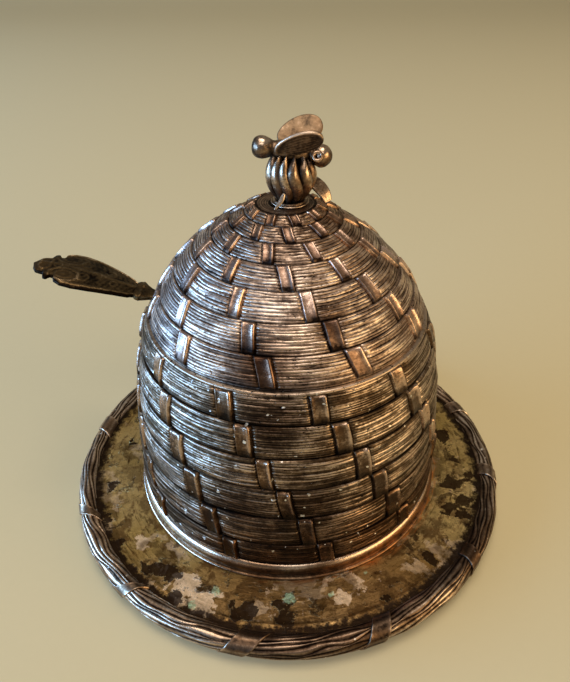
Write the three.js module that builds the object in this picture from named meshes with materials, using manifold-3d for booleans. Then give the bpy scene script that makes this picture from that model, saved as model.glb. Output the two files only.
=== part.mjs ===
// Honey pot in the form of a straw skep on a plate, with a liner, a spoon and a lift-off lid.
// Millimetres, +Z up. The origin is the centre of the flat foot that the plate stands on.
// The front is -Y. An azimuth is counted from the front towards +X, in degrees.
import * as THREE from 'three';
import { mergeVertices } from 'three/addons/utils/BufferGeometryUtils.js';
import Module from 'manifold-3d';

const wasm = await Module();
wasm.setup();

// Fits shared by all pieces
const FIT_GAP = 0.3; // between two faces that are soldered or rest on each other
const SLIDE_GAP = 0.4; // round a piece that lifts out

// Plate
const PLATE_SHEET = 1.2;
const PLATE_TOP_Z = 7.2; // upper face of the flat annulus
const WELL_RADIUS = 42.5; // flat foot under the hive
const WELL_FLARE = 3.5; // how far the well's wall leans out

// Straw border, a round bundle that holds the plate's edge
const BORDER_MID_RADIUS = 72.9;
const BORDER_MID_Z = 5.6;
const BORDER_SECTION = 3.1; // radius of the bundle where it is bound
const BORDER_GRIP = 2.1; // how deep the plate's edge goes in
const SHEAF_SWELL = 0.35; // fuller between two bindings
const BINDING_COUNT = 12;
const BINDING_AZIMUTH = -10;
const BINDING_WIDTH = 6.0;
const BINDING_EDGE = 0.6; // its sloping side, in degrees
const BINDING_RAISE = 0.45;

// Hive body
const HIVE_FOOT_RADIUS = 51.0;
const HIVE_MOUTH_RADIUS = 42.3;
const SEAM_Z = 74.0;
const HIVE_WALL = 1.6;
const HIVE_STRAIGHT = 23.2; // length of the upright handle of the outline's curve
const HIVE_LEAN = [7.13, 17.83]; // handle at the mouth: outwards, down
const BODY_ROW_SHARES = [0, 0.179, 0.359, 0.532, 0.698, 0.86, 1]; // of the rows' whole height
const MOUTH_LIP = 0.9; // height of the plain lip under the seam

// Straw rows and the straps that bind them
const BODY_ROW_SWELL = 1.05;
const LID_ROW_SWELL = 0.7;
const STRAP_RAISE = 0.45;
const BODY_STRAP_WIDTH = 4.5;
const LID_STRAP_WIDTHS = [4.6, 4.0, 3.7, 3.4, 3.1, 2.9, 2.6]; // narrower in each higher row
const STRAP_EDGE = 0.5;
const STRAP_LEAN = 1.6; // the foot of a strap lies this far to the right of its head
const STRAP_FILL = 0.45; // widest share of the pitch that a strap may take, near the crown
const BODY_STRAPS = 11;
const BODY_STRAP_AZIMUTH = 13; // in the lowest row
const BODY_STRAP_STEP = 5.9; // each row's straps stand this far to the left of the row below
const LID_STRAPS = 10;
const LID_STRAP_AZIMUTH = -8;
const LID_STRAP_STEP = 5.3;

// Foot ring of the hive
const RING_PROUD = 1.3; // how far it stands out from the hive's foot
const RING_TOP_Z = 13.0;
const RING_FLANGE = 2.3; // height of the flange that the wall stands on
const RING_INSIDE = 2.6; // how far the flange reaches in under the wall

// Lid
const CROWN_RADIUS = 8.4;
const CROWN_Z = 107.6;
const LID_WALL = 1.4;
const LID_LOW_HANDLE = [7.7, 16.1]; // of the outline's curve at the seam: inwards, up
const LID_TOP_HANDLE = [18.7, 10.9]; // at the crown: outwards, down
const LID_ROW_SHARES = [0.012, 0.186, 0.357, 0.531, 0.682, 0.811, 0.917, 0.995];
const BEZEL_WALL = 1.2;
const BEZEL_RISE = 0.9; // into the lid
const BEZEL_DROP = 3.0; // into the mouth

// Liner and the ring that steadies it
const LINER_SHOULDER = 1.8; // how far the lip overhangs the side
const LINER_WALL = 1.6;
const LINER_FLOOR = 2.1;
const LINER_LIP = 2.0; // thickness of the rolled lip
const LEDGE_HEIGHT = 2.0;

// Spoon
const SPOON_AZIMUTH = -93;
const STEM_WIDTH = 4.2;
const STEM_THICK = 2.0;
const STEM_OVER_RIM = 0.45; // clear height under the stem where it crosses the mouth
const BOWL_LENGTH = 28;
const BOWL_WIDTH = 19;
const BOWL_DEPTH = 5.0;
const BOWL_WALL = 1.0;
const BOWL_TILT = 65; // of the stem inside the liner, above level
const LEAF_LENGTH = 30.5;
const LEAF_HALF_WIDTH = 9.2;
const LEAF_THICK = 1.7;
const LEAF_SLOPE = 26; // at its root, above level
const LEAF_DROOP = 4.2; // how far the tip falls below the root's slope
const LEAF_REACH = [6.2, 2.3]; // from the rim to the leaf's root: outwards, up
const COLLAR_WIDTH = 10.0;
const COLLAR_LENGTH = 3.0;
const COLLAR_THICK = 2.9;
const COLLAR_SWEEP = 1.2; // how far its ends lean outwards
const COLLAR_START = 0.6; // from the stem's end
const NOTCH_CLEARANCE = 1.0;

// Finial
const FINIAL_X = 1.2; // set a little off the axis, by hand
const SEAT_RADIUS = 5.5;
const SEAT_THICK = 1.1;
const SEAT_DISH = 0.5;
const SEAT_RIM = 1.0;
const STUD_RADIUS = 1.5;
const BLOSSOM_RADIUS = 6.2;
const BLOSSOM_HEIGHT = 10.4;
const BUD_CORE_RADIUS = 4.2;
const BUD_FOOT_RADIUS = 3.6;
const PETALS = 9;
const PETAL_RADIUS = 2.3;
const PETAL_HALF_WIDTH = 1.7;
const BEE_RIDE = 3.0; // from the blossom's top up to the bee's axis
const BEE_TILT = 9; // nose up, degrees
const HEAD_RADIUS = 3.0;
const HEAD_X = -7.4;
const THORAX_RADIUS = 2.9;
const THORAX_X = 2.1;
const THORAX_HALF_LENGTH = 4.6;
const TAIL_RADIUS = 2.8;
const TAIL_X = 8.6;
const WING_LENGTH = 13.2;
const WING_THICK = 1.0;
// Each wing's slope above level and the turn of its long axis, in degrees
const FRONT_WING = { wide: 7.2, rise: 70, sweep: 21 };
const REAR_WING = { wide: 8.2, rise: 50, sweep: 22 };
const WING_FOOT_Z = -0.4; // lowest edge, from the bee's axis
const LEAF_BAR = { wide: 3.4, thick: 1.1, clear: 0.9, reach: 4.4 }; // the small leaf at the blossom's side
const SPRIG_BAR = { wide: 1.2, thick: 0.9, clear: 0.9 }; // the sprig in front of the blossom
const WASHER_RADIUS = 4.2;
const WASHER_THICK = 0.8;
const NUT_RADIUS = 3.2;
const NUT_HEIGHT = 2.4;

const COLUMNS_PER_STRAP = 6;
const PLATE_COLUMNS = 72;
const radians = THREE.MathUtils.degToRad;
const degrees = THREE.MathUtils.radToDeg;

// Colours: aged silver plate, darker where it is handled less
const silverLid = { color: 0x9a8675, roughness: 0.42, metalness: 0.9 };
const silverBody = { color: 0x6f665c, roughness: 0.38, metalness: 0.9 };
const silverPlate = { color: 0x8b806c, roughness: 0.5, metalness: 0.85 };
const silverBorder = { color: 0x6e6257, roughness: 0.4, metalness: 0.9 };
const silverBright = { color: 0xb9a48c, roughness: 0.28, metalness: 0.95 };
const bronzeDark = { color: 0x6b553c, roughness: 0.35, metalness: 0.9 };
const spoonDark = { color: 0x3f2e1e, roughness: 0.45, metalness: 0.85 };
const glassClear = { color: 0xdfe8e4, roughness: 0.06, metalness: 0.0, transparent: true, opacity: 0.4 };

/** A named mesh with its own material. */
function piece(name, geometry, finish) {
  const mesh = new THREE.Mesh(geometry, new THREE.MeshStandardMaterial(finish));
  mesh.name = name;
  return mesh;
}

/** Vertices at equal places joined, and triangles with no area left out. */
function welded(geometry, tolerance = 1e-4) {
  const bare = geometry.clone();
  bare.deleteAttribute('normal');
  bare.deleteAttribute('uv');
  const joined = mergeVertices(bare, tolerance);
  const source = joined.index.array;
  const kept = [];
  for (let i = 0; i < source.length; i += 3) {
    const [a, b, c] = [source[i], source[i + 1], source[i + 2]];
    if (a !== b && b !== c && c !== a) kept.push(a, b, c);
  }
  joined.setIndex(kept);
  return joined;
}

/** The geometry, moved by a matrix, as a solid that can be joined and cut. */
function solid(geometry, matrix = null) {
  const placed = matrix ? geometry.clone().applyMatrix4(matrix) : geometry;
  const g = welded(placed);
  const vertProperties = new Float32Array(g.attributes.position.array);
  const triVerts = new Uint32Array(g.index.array);
  return new wasm.Manifold(new wasm.Mesh({ numProp: 3, vertProperties, triVerts }));
}

/** A solid turned back into a geometry. */
function geometryOf(body) {
  const mesh = body.getMesh();
  const g = new THREE.BufferGeometry();
  g.setAttribute('position', new THREE.BufferAttribute(new Float32Array(mesh.vertProperties), 3));
  g.setIndex(new THREE.BufferAttribute(new Uint32Array(mesh.triVerts), 1));
  g.computeVertexNormals();
  return g;
}

/**
 * A shape turned about the pot's axis from [radius, height] points that run up its outside.
 * reshape(column, index) may give another [radius, height, azimuth] for a vertex.
 */
function turned(points, columns, reshape = null) {
  const outline = points.map(([r, z]) => new THREE.Vector2(r, z));
  const g = new THREE.LatheGeometry(outline, columns);
  const position = g.attributes.position;
  for (let i = 0; reshape && i <= columns; i += 1) {
    for (let j = 0; j < points.length; j += 1) {
      const [r, z, azimuth] = reshape(i % columns, j);
      const a = radians(azimuth);
      position.setXYZ(i * points.length + j, r * Math.sin(a), z, r * Math.cos(a));
    }
  }
  g.rotateX(Math.PI / 2);
  return welded(g);
}

/** Point of an outline curve at a share of its length, moved out along its normal. */
function offsetPoint(curve, share, outwards) {
  const p = curve.getPointAt(share);
  const t = curve.getTangentAt(share);
  return [p.x + t.y * outwards, p.y - t.x * outwards];
}

/** Radius of an outline curve at a height. */
function radiusAt(curve, z) {
  let low = 0;
  let high = 1;
  for (let i = 0; i < 40; i += 1) {
    const middle = (low + high) / 2;
    if (curve.getPoint(middle).y < z) low = middle;
    else high = middle;
  }
  return curve.getPoint(low).x;
}

/** Azimuth of each row's straps, every row one step to the left of the row below. */
function strapAzimuths(curve, rowShares, first, step) {
  const azimuths = [first];
  for (let row = 1; row < rowShares.length - 1; row += 1) {
    const radius = curve.getPointAt(rowShares[row]).x;
    azimuths.push(azimuths[row - 1] - degrees(step / radius));
  }
  return azimuths;
}

/** Places up a row, with the share of the swell that each has: a row is fullest above its middle. */
const ROW_PROFILE = [[0.16, 0.62], [0.6, 1], [0.92, 0.74]];

/**
 * Levels of a coiled straw wall: a groove below each row, then its foot, its fullest line and its head.
 * Each level holds its share of the outline, its swell, its strap's height and width, and its azimuth.
 */
function coilLevels(curve, rowShares, azimuths, rowSwell, widths) {
  const levels = [];
  for (let row = 0; row < rowShares.length - 1; row += 1) {
    const low = rowShares[row];
    const height = rowShares[row + 1] - low;
    const radius = curve.getPointAt(low + height / 2).x;
    const lean = degrees(STRAP_LEAN / radius);
    const below = row ? (azimuths[row] + azimuths[row - 1]) / 2 : azimuths[row] + lean / 2;
    const width = widths[row];
    levels.push({ share: low, swell: 0, raise: row ? 0.4 : 1, width, azimuth: below });
    for (const [up, full] of ROW_PROFILE) {
      const azimuth = azimuths[row] + lean * (0.5 - up);
      levels.push({ share: low + up * height, swell: full * rowSwell, raise: 1, width, azimuth });
    }
  }
  return levels;
}

/**
 * A coiled wall: levels with straps on the outside, then plain points back down the inside.
 * Its columns follow the straps, and on the plain points they turn on to the next whole pitch,
 * so that the last ring meets the first.
 */
function coiledWall(curve, levels, plainBelow, plainAbove, strapCount) {
  const coil = levels.map((level) => offsetPoint(curve, level.share, level.swell));
  const points = [...plainBelow, ...coil, ...plainAbove, plainBelow[0]];
  const pitch = 360 / strapCount;
  const coilEnd = plainBelow.length + levels.length - 1;
  const [first, last] = [levels[0], levels[levels.length - 1]];
  const turns = Math.round((first.azimuth - last.azimuth) / pitch);
  const closing = first.azimuth - pitch * turns - last.azimuth;
  const radiusOf = (level) => curve.getPointAt(level.share).x;
  const reshape = (column, index) => {
    const level = levels[Math.min(Math.max(index - plainBelow.length, 0), levels.length - 1)];
    const onCoil = index >= plainBelow.length && index <= coilEnd;
    const back = Math.max(index - coilEnd, 0) / (points.length - 1 - coilEnd);
    const radius = radiusOf(level) * (1 - back) + radiusOf(first) * back;
    const width = level.width * (1 - back) + first.width * back;
    const half = degrees(Math.min(width, STRAP_FILL * radians(pitch) * radius) / 2 / radius);
    const edge = degrees(STRAP_EDGE / radius);
    const offsets = [-half - edge, -half, half, half + edge, pitch * 0.38, pitch * 0.62];
    const place = column % COLUMNS_PER_STRAP;
    const turn = Math.floor(column / COLUMNS_PER_STRAP) * pitch + offsets[place];
    const raise = place === 1 || place === 2 ? level.raise * STRAP_RAISE : 0;
    const [r, z] = onCoil ? offsetPoint(curve, level.share, level.swell + raise) : points[index];
    return [r, z, level.azimuth + closing * back + turn];
  };
  return turned(points, strapCount * COLUMNS_PER_STRAP, reshape);
}

// Outline curves, as radius and height, from the bottom up
const HIVE_BASE_Z = PLATE_TOP_Z + FIT_GAP;
const hiveCurve = new THREE.CubicBezierCurve(
  new THREE.Vector2(HIVE_FOOT_RADIUS, HIVE_BASE_Z),
  new THREE.Vector2(HIVE_FOOT_RADIUS, HIVE_BASE_Z + HIVE_STRAIGHT),
  new THREE.Vector2(HIVE_MOUTH_RADIUS + HIVE_LEAN[0], SEAM_Z - HIVE_LEAN[1]),
  new THREE.Vector2(HIVE_MOUTH_RADIUS, SEAM_Z),
);
const lidCurve = new THREE.CubicBezierCurve(
  new THREE.Vector2(HIVE_MOUTH_RADIUS, SEAM_Z),
  new THREE.Vector2(HIVE_MOUTH_RADIUS - LID_LOW_HANDLE[0], SEAM_Z + LID_LOW_HANDLE[1]),
  new THREE.Vector2(CROWN_RADIUS + LID_TOP_HANDLE[0], CROWN_Z - LID_TOP_HANDLE[1]),
  new THREE.Vector2(CROWN_RADIUS, CROWN_Z),
);
const HIVE_TOP_Z = SEAM_Z - FIT_GAP / 2;
const LID_BOTTOM_Z = SEAM_Z + FIT_GAP / 2;
const RING_RADIUS = HIVE_FOOT_RADIUS + RING_PROUD;
const RING_INNER_RADIUS = HIVE_FOOT_RADIUS - RING_INSIDE;
const MOUTH_BORE = HIVE_MOUTH_RADIUS - HIVE_WALL;
const LINER_LIP_RADIUS = MOUTH_BORE - SLIDE_GAP;
const LINER_RADIUS = LINER_LIP_RADIUS - LINER_SHOULDER;

/** Plate: a flat annulus round a sunk well, whose floor is the foot. */
function underplate() {
  const rise = WELL_RADIUS + WELL_FLARE;
  const edge = BORDER_MID_RADIUS - BORDER_SECTION + BORDER_GRIP - FIT_GAP;
  return turned([
    [0, 0],
    [WELL_RADIUS, 0],
    [WELL_RADIUS + 1, 0.5],
    [rise, PLATE_TOP_Z - PLATE_SHEET - 0.4],
    [rise + 1, PLATE_TOP_Z - PLATE_SHEET],
    [edge, PLATE_TOP_Z - PLATE_SHEET],
    [edge, PLATE_TOP_Z],
    [rise, PLATE_TOP_Z],
    [rise - 1, PLATE_TOP_Z - 0.5],
    [WELL_RADIUS - 0.2, PLATE_SHEET + 0.4],
    [WELL_RADIUS - 1, PLATE_SHEET],
    [0, PLATE_SHEET],
  ], PLATE_COLUMNS);
}

/** Border: a round bundle with a slot for the plate's edge, bound every so often. */
function strawBorder() {
  const slotLow = PLATE_TOP_Z - PLATE_SHEET - FIT_GAP;
  const slotHigh = PLATE_TOP_Z + FIT_GAP;
  const slotEnd = BORDER_MID_RADIUS - BORDER_SECTION + BORDER_GRIP;
  const from = Math.PI - Math.asin((slotLow - BORDER_MID_Z) / BORDER_SECTION);
  const to = 3 * Math.PI - Math.asin((slotHigh - BORDER_MID_Z) / BORDER_SECTION);
  const steps = 11;
  const section = [];
  for (let i = 0; i <= steps; i += 1) {
    const a = from + ((to - from) * i) / steps;
    section.push([Math.cos(a), Math.sin(a)]);
  }
  const at = ([c, s], radius) => [BORDER_MID_RADIUS + radius * c, BORDER_MID_Z + radius * s];
  const points = section.map((unit) => at(unit, BORDER_SECTION));
  points.push([slotEnd, slotHigh], [slotEnd, slotLow], points[0]);
  const pitch = 360 / BINDING_COUNT;
  const half = degrees(BINDING_WIDTH / 2 / BORDER_MID_RADIUS);
  const offsets = [-half - BINDING_EDGE, -half, half, half + BINDING_EDGE, pitch * 0.38, pitch * 0.62];
  const extra = [0, BINDING_RAISE, BINDING_RAISE, 0, SHEAF_SWELL, SHEAF_SWELL];
  const columns = BINDING_COUNT * offsets.length;
  const reshape = (column, index) => {
    const place = column % offsets.length;
    const onBundle = index > 0 && index < steps;
    if (!onBundle) return [...points[index], (column * 360) / columns];
    const turn = BINDING_AZIMUTH + Math.floor(column / offsets.length) * pitch;
    return [...at(section[index], BORDER_SECTION + extra[place]), turn + offsets[place]];
  };
  return turned(points, columns, reshape);
}

/** Foot ring: a half-round moulding with a flange that the hive's wall stands on. */
function footRing() {
  const middle = (HIVE_BASE_Z + RING_TOP_Z) / 2;
  const high = (RING_TOP_Z - HIVE_BASE_Z) / 2;
  const deep = RING_RADIUS - HIVE_FOOT_RADIUS + 0.3;
  const round = [];
  for (let i = 0; i <= 4; i += 1) {
    const a = -Math.PI / 2 + (Math.PI * i) / 4;
    round.push([RING_RADIUS - deep + deep * Math.cos(a), middle + high * Math.sin(a)]);
  }
  const wallSide = RING_RADIUS - deep + FIT_GAP;
  round[round.length - 1] = [wallSide + 0.35, RING_TOP_Z];
  const flangeTop = HIVE_BASE_Z + RING_FLANGE;
  return turned([
    [RING_INNER_RADIUS, HIVE_BASE_Z],
    ...round,
    [wallSide, RING_TOP_Z],
    [wallSide, flangeTop],
    [RING_INNER_RADIUS, flangeTop],
    [RING_INNER_RADIUS, HIVE_BASE_Z],
  ], 60);
}

/** Hive body: coiled straw rows with straps outside, a plain wall inside, open at both ends. */
function hiveBody() {
  const footZ = HIVE_BASE_Z + RING_FLANGE + FIT_GAP;
  const wallRadius = HIVE_FOOT_RADIUS - FIT_GAP - 0.1;
  const length = hiveCurve.getLength();
  const topShare = 1 - (MOUTH_LIP + 0.2) / length;
  const bottomShare = (footZ - HIVE_BASE_Z) / length;
  const clearShare = (RING_TOP_Z + FIT_GAP - HIVE_BASE_Z) / length;
  const shares = BODY_ROW_SHARES.map((share) => bottomShare + (topShare - bottomShare) * share);
  const azimuths = strapAzimuths(hiveCurve, shares, BODY_STRAP_AZIMUTH, BODY_STRAP_STEP);
  const widths = azimuths.map(() => BODY_STRAP_WIDTH);
  const levels = coilLevels(hiveCurve, shares, azimuths, BODY_ROW_SWELL, widths);
  levels[0] = { ...levels[0], share: clearShare, azimuth: levels[1].azimuth };
  levels[1] = { ...levels[1], share: clearShare + 0.01 };
  const inner = [0.97, 0.9, 0.86, 0.6, 0.3].map((share) => offsetPoint(hiveCurve, share, -HIVE_WALL));
  return coiledWall(
    hiveCurve,
    levels,
    [[wallRadius, footZ], [wallRadius, RING_TOP_Z + FIT_GAP / 2]],
    [
      offsetPoint(hiveCurve, topShare, 0),
      [HIVE_MOUTH_RADIUS + 0.7, HIVE_TOP_Z - MOUTH_LIP],
      [HIVE_MOUTH_RADIUS + 0.4, HIVE_TOP_Z],
      [MOUTH_BORE, HIVE_TOP_Z],
      ...inner,
      [wallRadius - HIVE_WALL, footZ],
    ],
    BODY_STRAPS,
  );
}

/** Ledge: a flat ring soldered inside the hive, which steadies the liner. */
function linerLedge() {
  const top = LINER_TOP_Z - LINER_LIP - FIT_GAP;
  const low = top - LEDGE_HEIGHT;
  const inner = LINER_RADIUS + SLIDE_GAP;
  const outer = (z) => radiusAt(hiveCurve, z) - HIVE_WALL * 1.08 - FIT_GAP;
  return turned([[inner, low], [outer(top), low], [outer(top), top], [inner, top], [inner, low]], 50);
}

/** Liner: a straight glass beaker with a rolled lip. */
function linerBeaker() {
  const base = PLATE_SHEET + FIT_GAP;
  const inner = LINER_RADIUS - LINER_WALL;
  const lipLow = LINER_TOP_Z - LINER_LIP;
  return turned([
    [0, base],
    [LINER_RADIUS - 2, base],
    [LINER_RADIUS - 0.5, base + 0.6],
    [LINER_RADIUS, base + 2],
    [LINER_RADIUS, lipLow],
    [LINER_LIP_RADIUS - 0.4, lipLow],
    [LINER_LIP_RADIUS, lipLow + LINER_LIP / 2],
    [LINER_LIP_RADIUS - 0.5, LINER_TOP_Z],
    [inner + 0.5, LINER_TOP_Z],
    [inner, LINER_TOP_Z - 1],
    [inner, base + LINER_FLOOR + 2],
    [inner - 2, base + LINER_FLOOR],
    [0, base + LINER_FLOOR],
  ], 40);
}

// Heights that follow from the lid's bezel
const BEZEL_LOW_Z = SEAM_Z - BEZEL_DROP;
const LINER_TOP_Z = BEZEL_LOW_Z - SLIDE_GAP;
const BEZEL_TOP_Z = LID_BOTTOM_Z + BEZEL_RISE;

// Spoon, drawn in its own upright plane: x outwards from the pot's axis, y up
const RIM_CROSSING = [MOUTH_BORE, HIVE_TOP_Z + STEM_OVER_RIM + STEM_THICK * 0.65];
const tiltCos = Math.cos(radians(BOWL_TILT));
const tiltSin = Math.sin(radians(BOWL_TILT));
const BOWL_FLOOR_Z = PLATE_SHEET + 2 * FIT_GAP + LINER_FLOOR;
const LINER_BORE = LINER_RADIUS - LINER_WALL;
const SHOULDER = [LINER_BORE - 1.9, LINER_TOP_Z + 0.4]; // where the stem comes out of the liner
const STEM_FOOT_Z = BOWL_FLOOR_Z + BOWL_LENGTH * tiltSin + 0.6;
const STEM_FOOT = [SHOULDER[0] - ((SHOULDER[1] - STEM_FOOT_Z) * tiltCos) / tiltSin, STEM_FOOT_Z];
const LEAF_ROOT = [RIM_CROSSING[0] + LEAF_REACH[0], RIM_CROSSING[1] + LEAF_REACH[1]];
const stemCurve = new THREE.CatmullRomCurve3([
  new THREE.Vector3(STEM_FOOT[0], 0, STEM_FOOT[1]),
  new THREE.Vector3((STEM_FOOT[0] + SHOULDER[0]) / 2, 0, (STEM_FOOT[1] + SHOULDER[1]) / 2),
  new THREE.Vector3(SHOULDER[0] - 1.3, 0, SHOULDER[1] - 2.9),
  new THREE.Vector3(SHOULDER[0] + 0.9, 0, SHOULDER[1] + 1.2),
  new THREE.Vector3(RIM_CROSSING[0], 0, RIM_CROSSING[1]),
  new THREE.Vector3(LEAF_ROOT[0], 0, LEAF_ROOT[1]),
]);

/** Section of a flat bar with rounded edges: wide along x, which runs level, and thin along y. */
function barSection(wide, thick) {
  const shape = new THREE.Shape();
  const corner = thick * 0.35;
  const [w, t] = [wide / 2, thick / 2];
  shape.moveTo(-w, -t + corner);
  shape.lineTo(-w + corner, -t);
  shape.lineTo(w - corner, -t);
  shape.lineTo(w, -t + corner);
  shape.lineTo(w, t - corner);
  shape.lineTo(w - corner, t);
  shape.lineTo(-w + corner, t);
  shape.lineTo(-w, t - corner);
  shape.closePath();
  return shape;
}

/** Spoon stem: the bar carried along its bent line. */
function spoonStem() {
  const steps = 26;
  const section = barSection(STEM_WIDTH, STEM_THICK);
  return welded(new THREE.ExtrudeGeometry(section, { steps, extrudePath: stemCurve, curveSegments: 2 }));
}

/** Spoon bowl: half an oval shell, its hollow facing the pot's axis, its tip near the liner's floor. */
function spoonBowl() {
  const ball = new THREE.SphereGeometry(1, 20, 14);
  const size = (inset) => new THREE.Matrix4().makeScale(
    BOWL_LENGTH / 2 - inset,
    BOWL_WIDTH / 2 - inset,
    BOWL_DEPTH - inset,
  );
  const shell = solid(ball, size(0)).subtract(solid(ball, size(BOWL_WALL)));
  const block = new THREE.BoxGeometry(2 * BOWL_LENGTH, 2 * BOWL_WIDTH, 2 * BOWL_DEPTH);
  const lower = new THREE.Matrix4().makeTranslation(0, 0, -BOWL_DEPTH);
  const half = geometryOf(shell.intersect(solid(block, lower)));
  half.rotateY(-radians(BOWL_TILT));
  const reach = BOWL_LENGTH / 2 + FIT_GAP;
  half.translate(STEM_FOOT[0] - reach * tiltCos, 0, STEM_FOOT[1] - reach * tiltSin);
  return half;
}

/** Half width of the leaf at a share of its length: swelling, then notched into a three-lobed tip. */
const LEAF_OUTLINE = [
  [0.0, 0.42], [0.1, 0.55], [0.22, 0.72], [0.38, 0.9], [0.55, 1.0], [0.68, 0.96], [0.74, 0.84],
  [0.78, 0.58], [0.8, 0.7], [0.85, 0.76], [0.88, 0.56], [0.95, 0.46], [0.99, 0.26],
];

/** Height of the leaf's middle above its root, which arches and droops towards the tip. */
function leafRise(distance) {
  const share = distance / LEAF_LENGTH;
  return distance * Math.tan(radians(LEAF_SLOPE)) - LEAF_DROOP * share * share * 1.5;
}

/** Spoon leaf: a flat cast leaf with a lobed outline, bowed along its length, with its collar. */
function spoonLeaf() {
  const shape = new THREE.Shape();
  const edge = LEAF_OUTLINE.map(([x, y]) => [x * LEAF_LENGTH, y * LEAF_HALF_WIDTH]);
  shape.moveTo(edge[0][0], -edge[0][1]);
  for (const [x, y] of edge.slice(1)) shape.lineTo(x, -y);
  shape.lineTo(LEAF_LENGTH, 0);
  for (const [x, y] of [...edge].reverse()) shape.lineTo(x, y);
  shape.closePath();
  const flat = new THREE.ExtrudeGeometry(shape, { depth: LEAF_THICK, bevelEnabled: false });
  flat.translate(0, 0, -LEAF_THICK / 2);
  const collar = new THREE.BoxGeometry(COLLAR_LENGTH, COLLAR_WIDTH, COLLAR_THICK, 1, 4, 1);
  collar.translate(COLLAR_LENGTH / 2, 0, 0);
  const position = collar.attributes.position;
  for (let i = 0; i < position.count; i += 1) {
    const across = Math.abs(position.getY(i)) / COLLAR_WIDTH;
    position.setX(i, position.getX(i) + across * COLLAR_SWEEP);
  }
  const joined = geometryOf(solid(flat).add(solid(collar)));
  const place = joined.attributes.position;
  for (let i = 0; i < place.count; i += 1) {
    place.setZ(i, place.getZ(i) + leafRise(place.getX(i)));
  }
  const slope = radians(LEAF_SLOPE);
  const startX = LEAF_ROOT[0] + FIT_GAP * Math.cos(slope) + COLLAR_START;
  joined.translate(startX, 0, LEAF_ROOT[1] + FIT_GAP * Math.sin(slope));
  return joined;
}

/** Tunnel for the stem, from inside the mouth to outside the lid, rounded at the top. */
function stemTunnel() {
  const half = STEM_WIDTH / 2 + NOTCH_CLEARANCE;
  const outerRadius = HIVE_MOUTH_RADIUS + 6;
  const top = RIM_CROSSING[1] + STEM_THICK / 2 + NOTCH_CLEARANCE + 0.6;
  const shape = new THREE.Shape();
  shape.moveTo(-half, BEZEL_LOW_Z - 2);
  shape.lineTo(half, BEZEL_LOW_Z - 2);
  shape.lineTo(half, top - half / 2);
  shape.lineTo(half / 2, top);
  shape.lineTo(-half / 2, top);
  shape.lineTo(-half, top - half / 2);
  shape.closePath();
  const length = outerRadius - LINER_BORE + 3;
  const g = new THREE.ExtrudeGeometry(shape, { depth: length, bevelEnabled: false });
  g.rotateX(Math.PI / 2);
  g.rotateZ(Math.PI / 2);
  g.translate(LINER_BORE - 3, 0, 0);
  g.rotateZ(radians(SPOON_AZIMUTH - 90));
  return solid(g);
}

/** Lid: coiled rows and straps outside, hollow inside, with the stem's notch and the stud's hole. */
function lidShell() {
  const azimuths = strapAzimuths(lidCurve, LID_ROW_SHARES, LID_STRAP_AZIMUTH, LID_STRAP_STEP);
  const levels = coilLevels(lidCurve, LID_ROW_SHARES, azimuths, LID_ROW_SWELL, LID_STRAP_WIDTHS);
  const inner = [0.97, 0.88, 0.72, 0.5, 0.25, 0.06].map((share) => offsetPoint(lidCurve, share, -LID_WALL));
  const g = coiledWall(
    lidCurve,
    levels,
    [[HIVE_MOUTH_RADIUS, LID_BOTTOM_Z]],
    [
      [CROWN_RADIUS, CROWN_Z],
      [0, CROWN_Z],
      [0, CROWN_Z - LID_WALL],
      [CROWN_RADIUS - LID_WALL, CROWN_Z - LID_WALL],
      ...inner,
      [HIVE_MOUTH_RADIUS - LID_WALL, LID_BOTTOM_Z],
    ],
    LID_STRAPS,
  );
  const drill = new THREE.CylinderGeometry(STUD_RADIUS + FIT_GAP, STUD_RADIUS + FIT_GAP, 20, 16);
  drill.rotateX(Math.PI / 2);
  drill.translate(FINIAL_X, 0, CROWN_Z);
  return geometryOf(solid(g).subtract(stemTunnel()).subtract(solid(drill)));
}

/** Bezel: the lid's inner ring, which drops into the mouth and is open at the stem. */
function lidBezel() {
  const outer = radiusAt(lidCurve, BEZEL_TOP_Z) - LID_WALL * 1.08 - FIT_GAP;
  const radius = Math.min(outer, MOUTH_BORE - SLIDE_GAP);
  const inner = radius - BEZEL_WALL;
  const g = turned([
    [inner, BEZEL_LOW_Z],
    [radius - 0.4, BEZEL_LOW_Z],
    [radius, BEZEL_LOW_Z + 0.6],
    [radius, BEZEL_TOP_Z],
    [inner, BEZEL_TOP_Z],
    [inner, BEZEL_LOW_Z],
  ], 60);
  return geometryOf(solid(g).subtract(stemTunnel()));
}

const SEAT_Z = CROWN_Z + FIT_GAP;
const SEAT_TOP_Z = SEAT_Z + SEAT_THICK;
const BLOSSOM_Z = SEAT_TOP_Z - SEAT_DISH + FIT_GAP;

/** Seat: a small dished disc under the blossom, bored for the stud. */
function finialSeat() {
  const hole = STUD_RADIUS + FIT_GAP;
  return turned([
    [hole, SEAT_Z],
    [SEAT_RADIUS - 0.4, SEAT_Z],
    [SEAT_RADIUS, SEAT_Z + SEAT_THICK / 2],
    [SEAT_RADIUS - 0.4, SEAT_TOP_Z],
    [SEAT_RADIUS - SEAT_RIM, SEAT_TOP_Z - SEAT_DISH],
    [hole, SEAT_TOP_Z - SEAT_DISH],
    [hole, SEAT_Z],
  ], 30);
}

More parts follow.
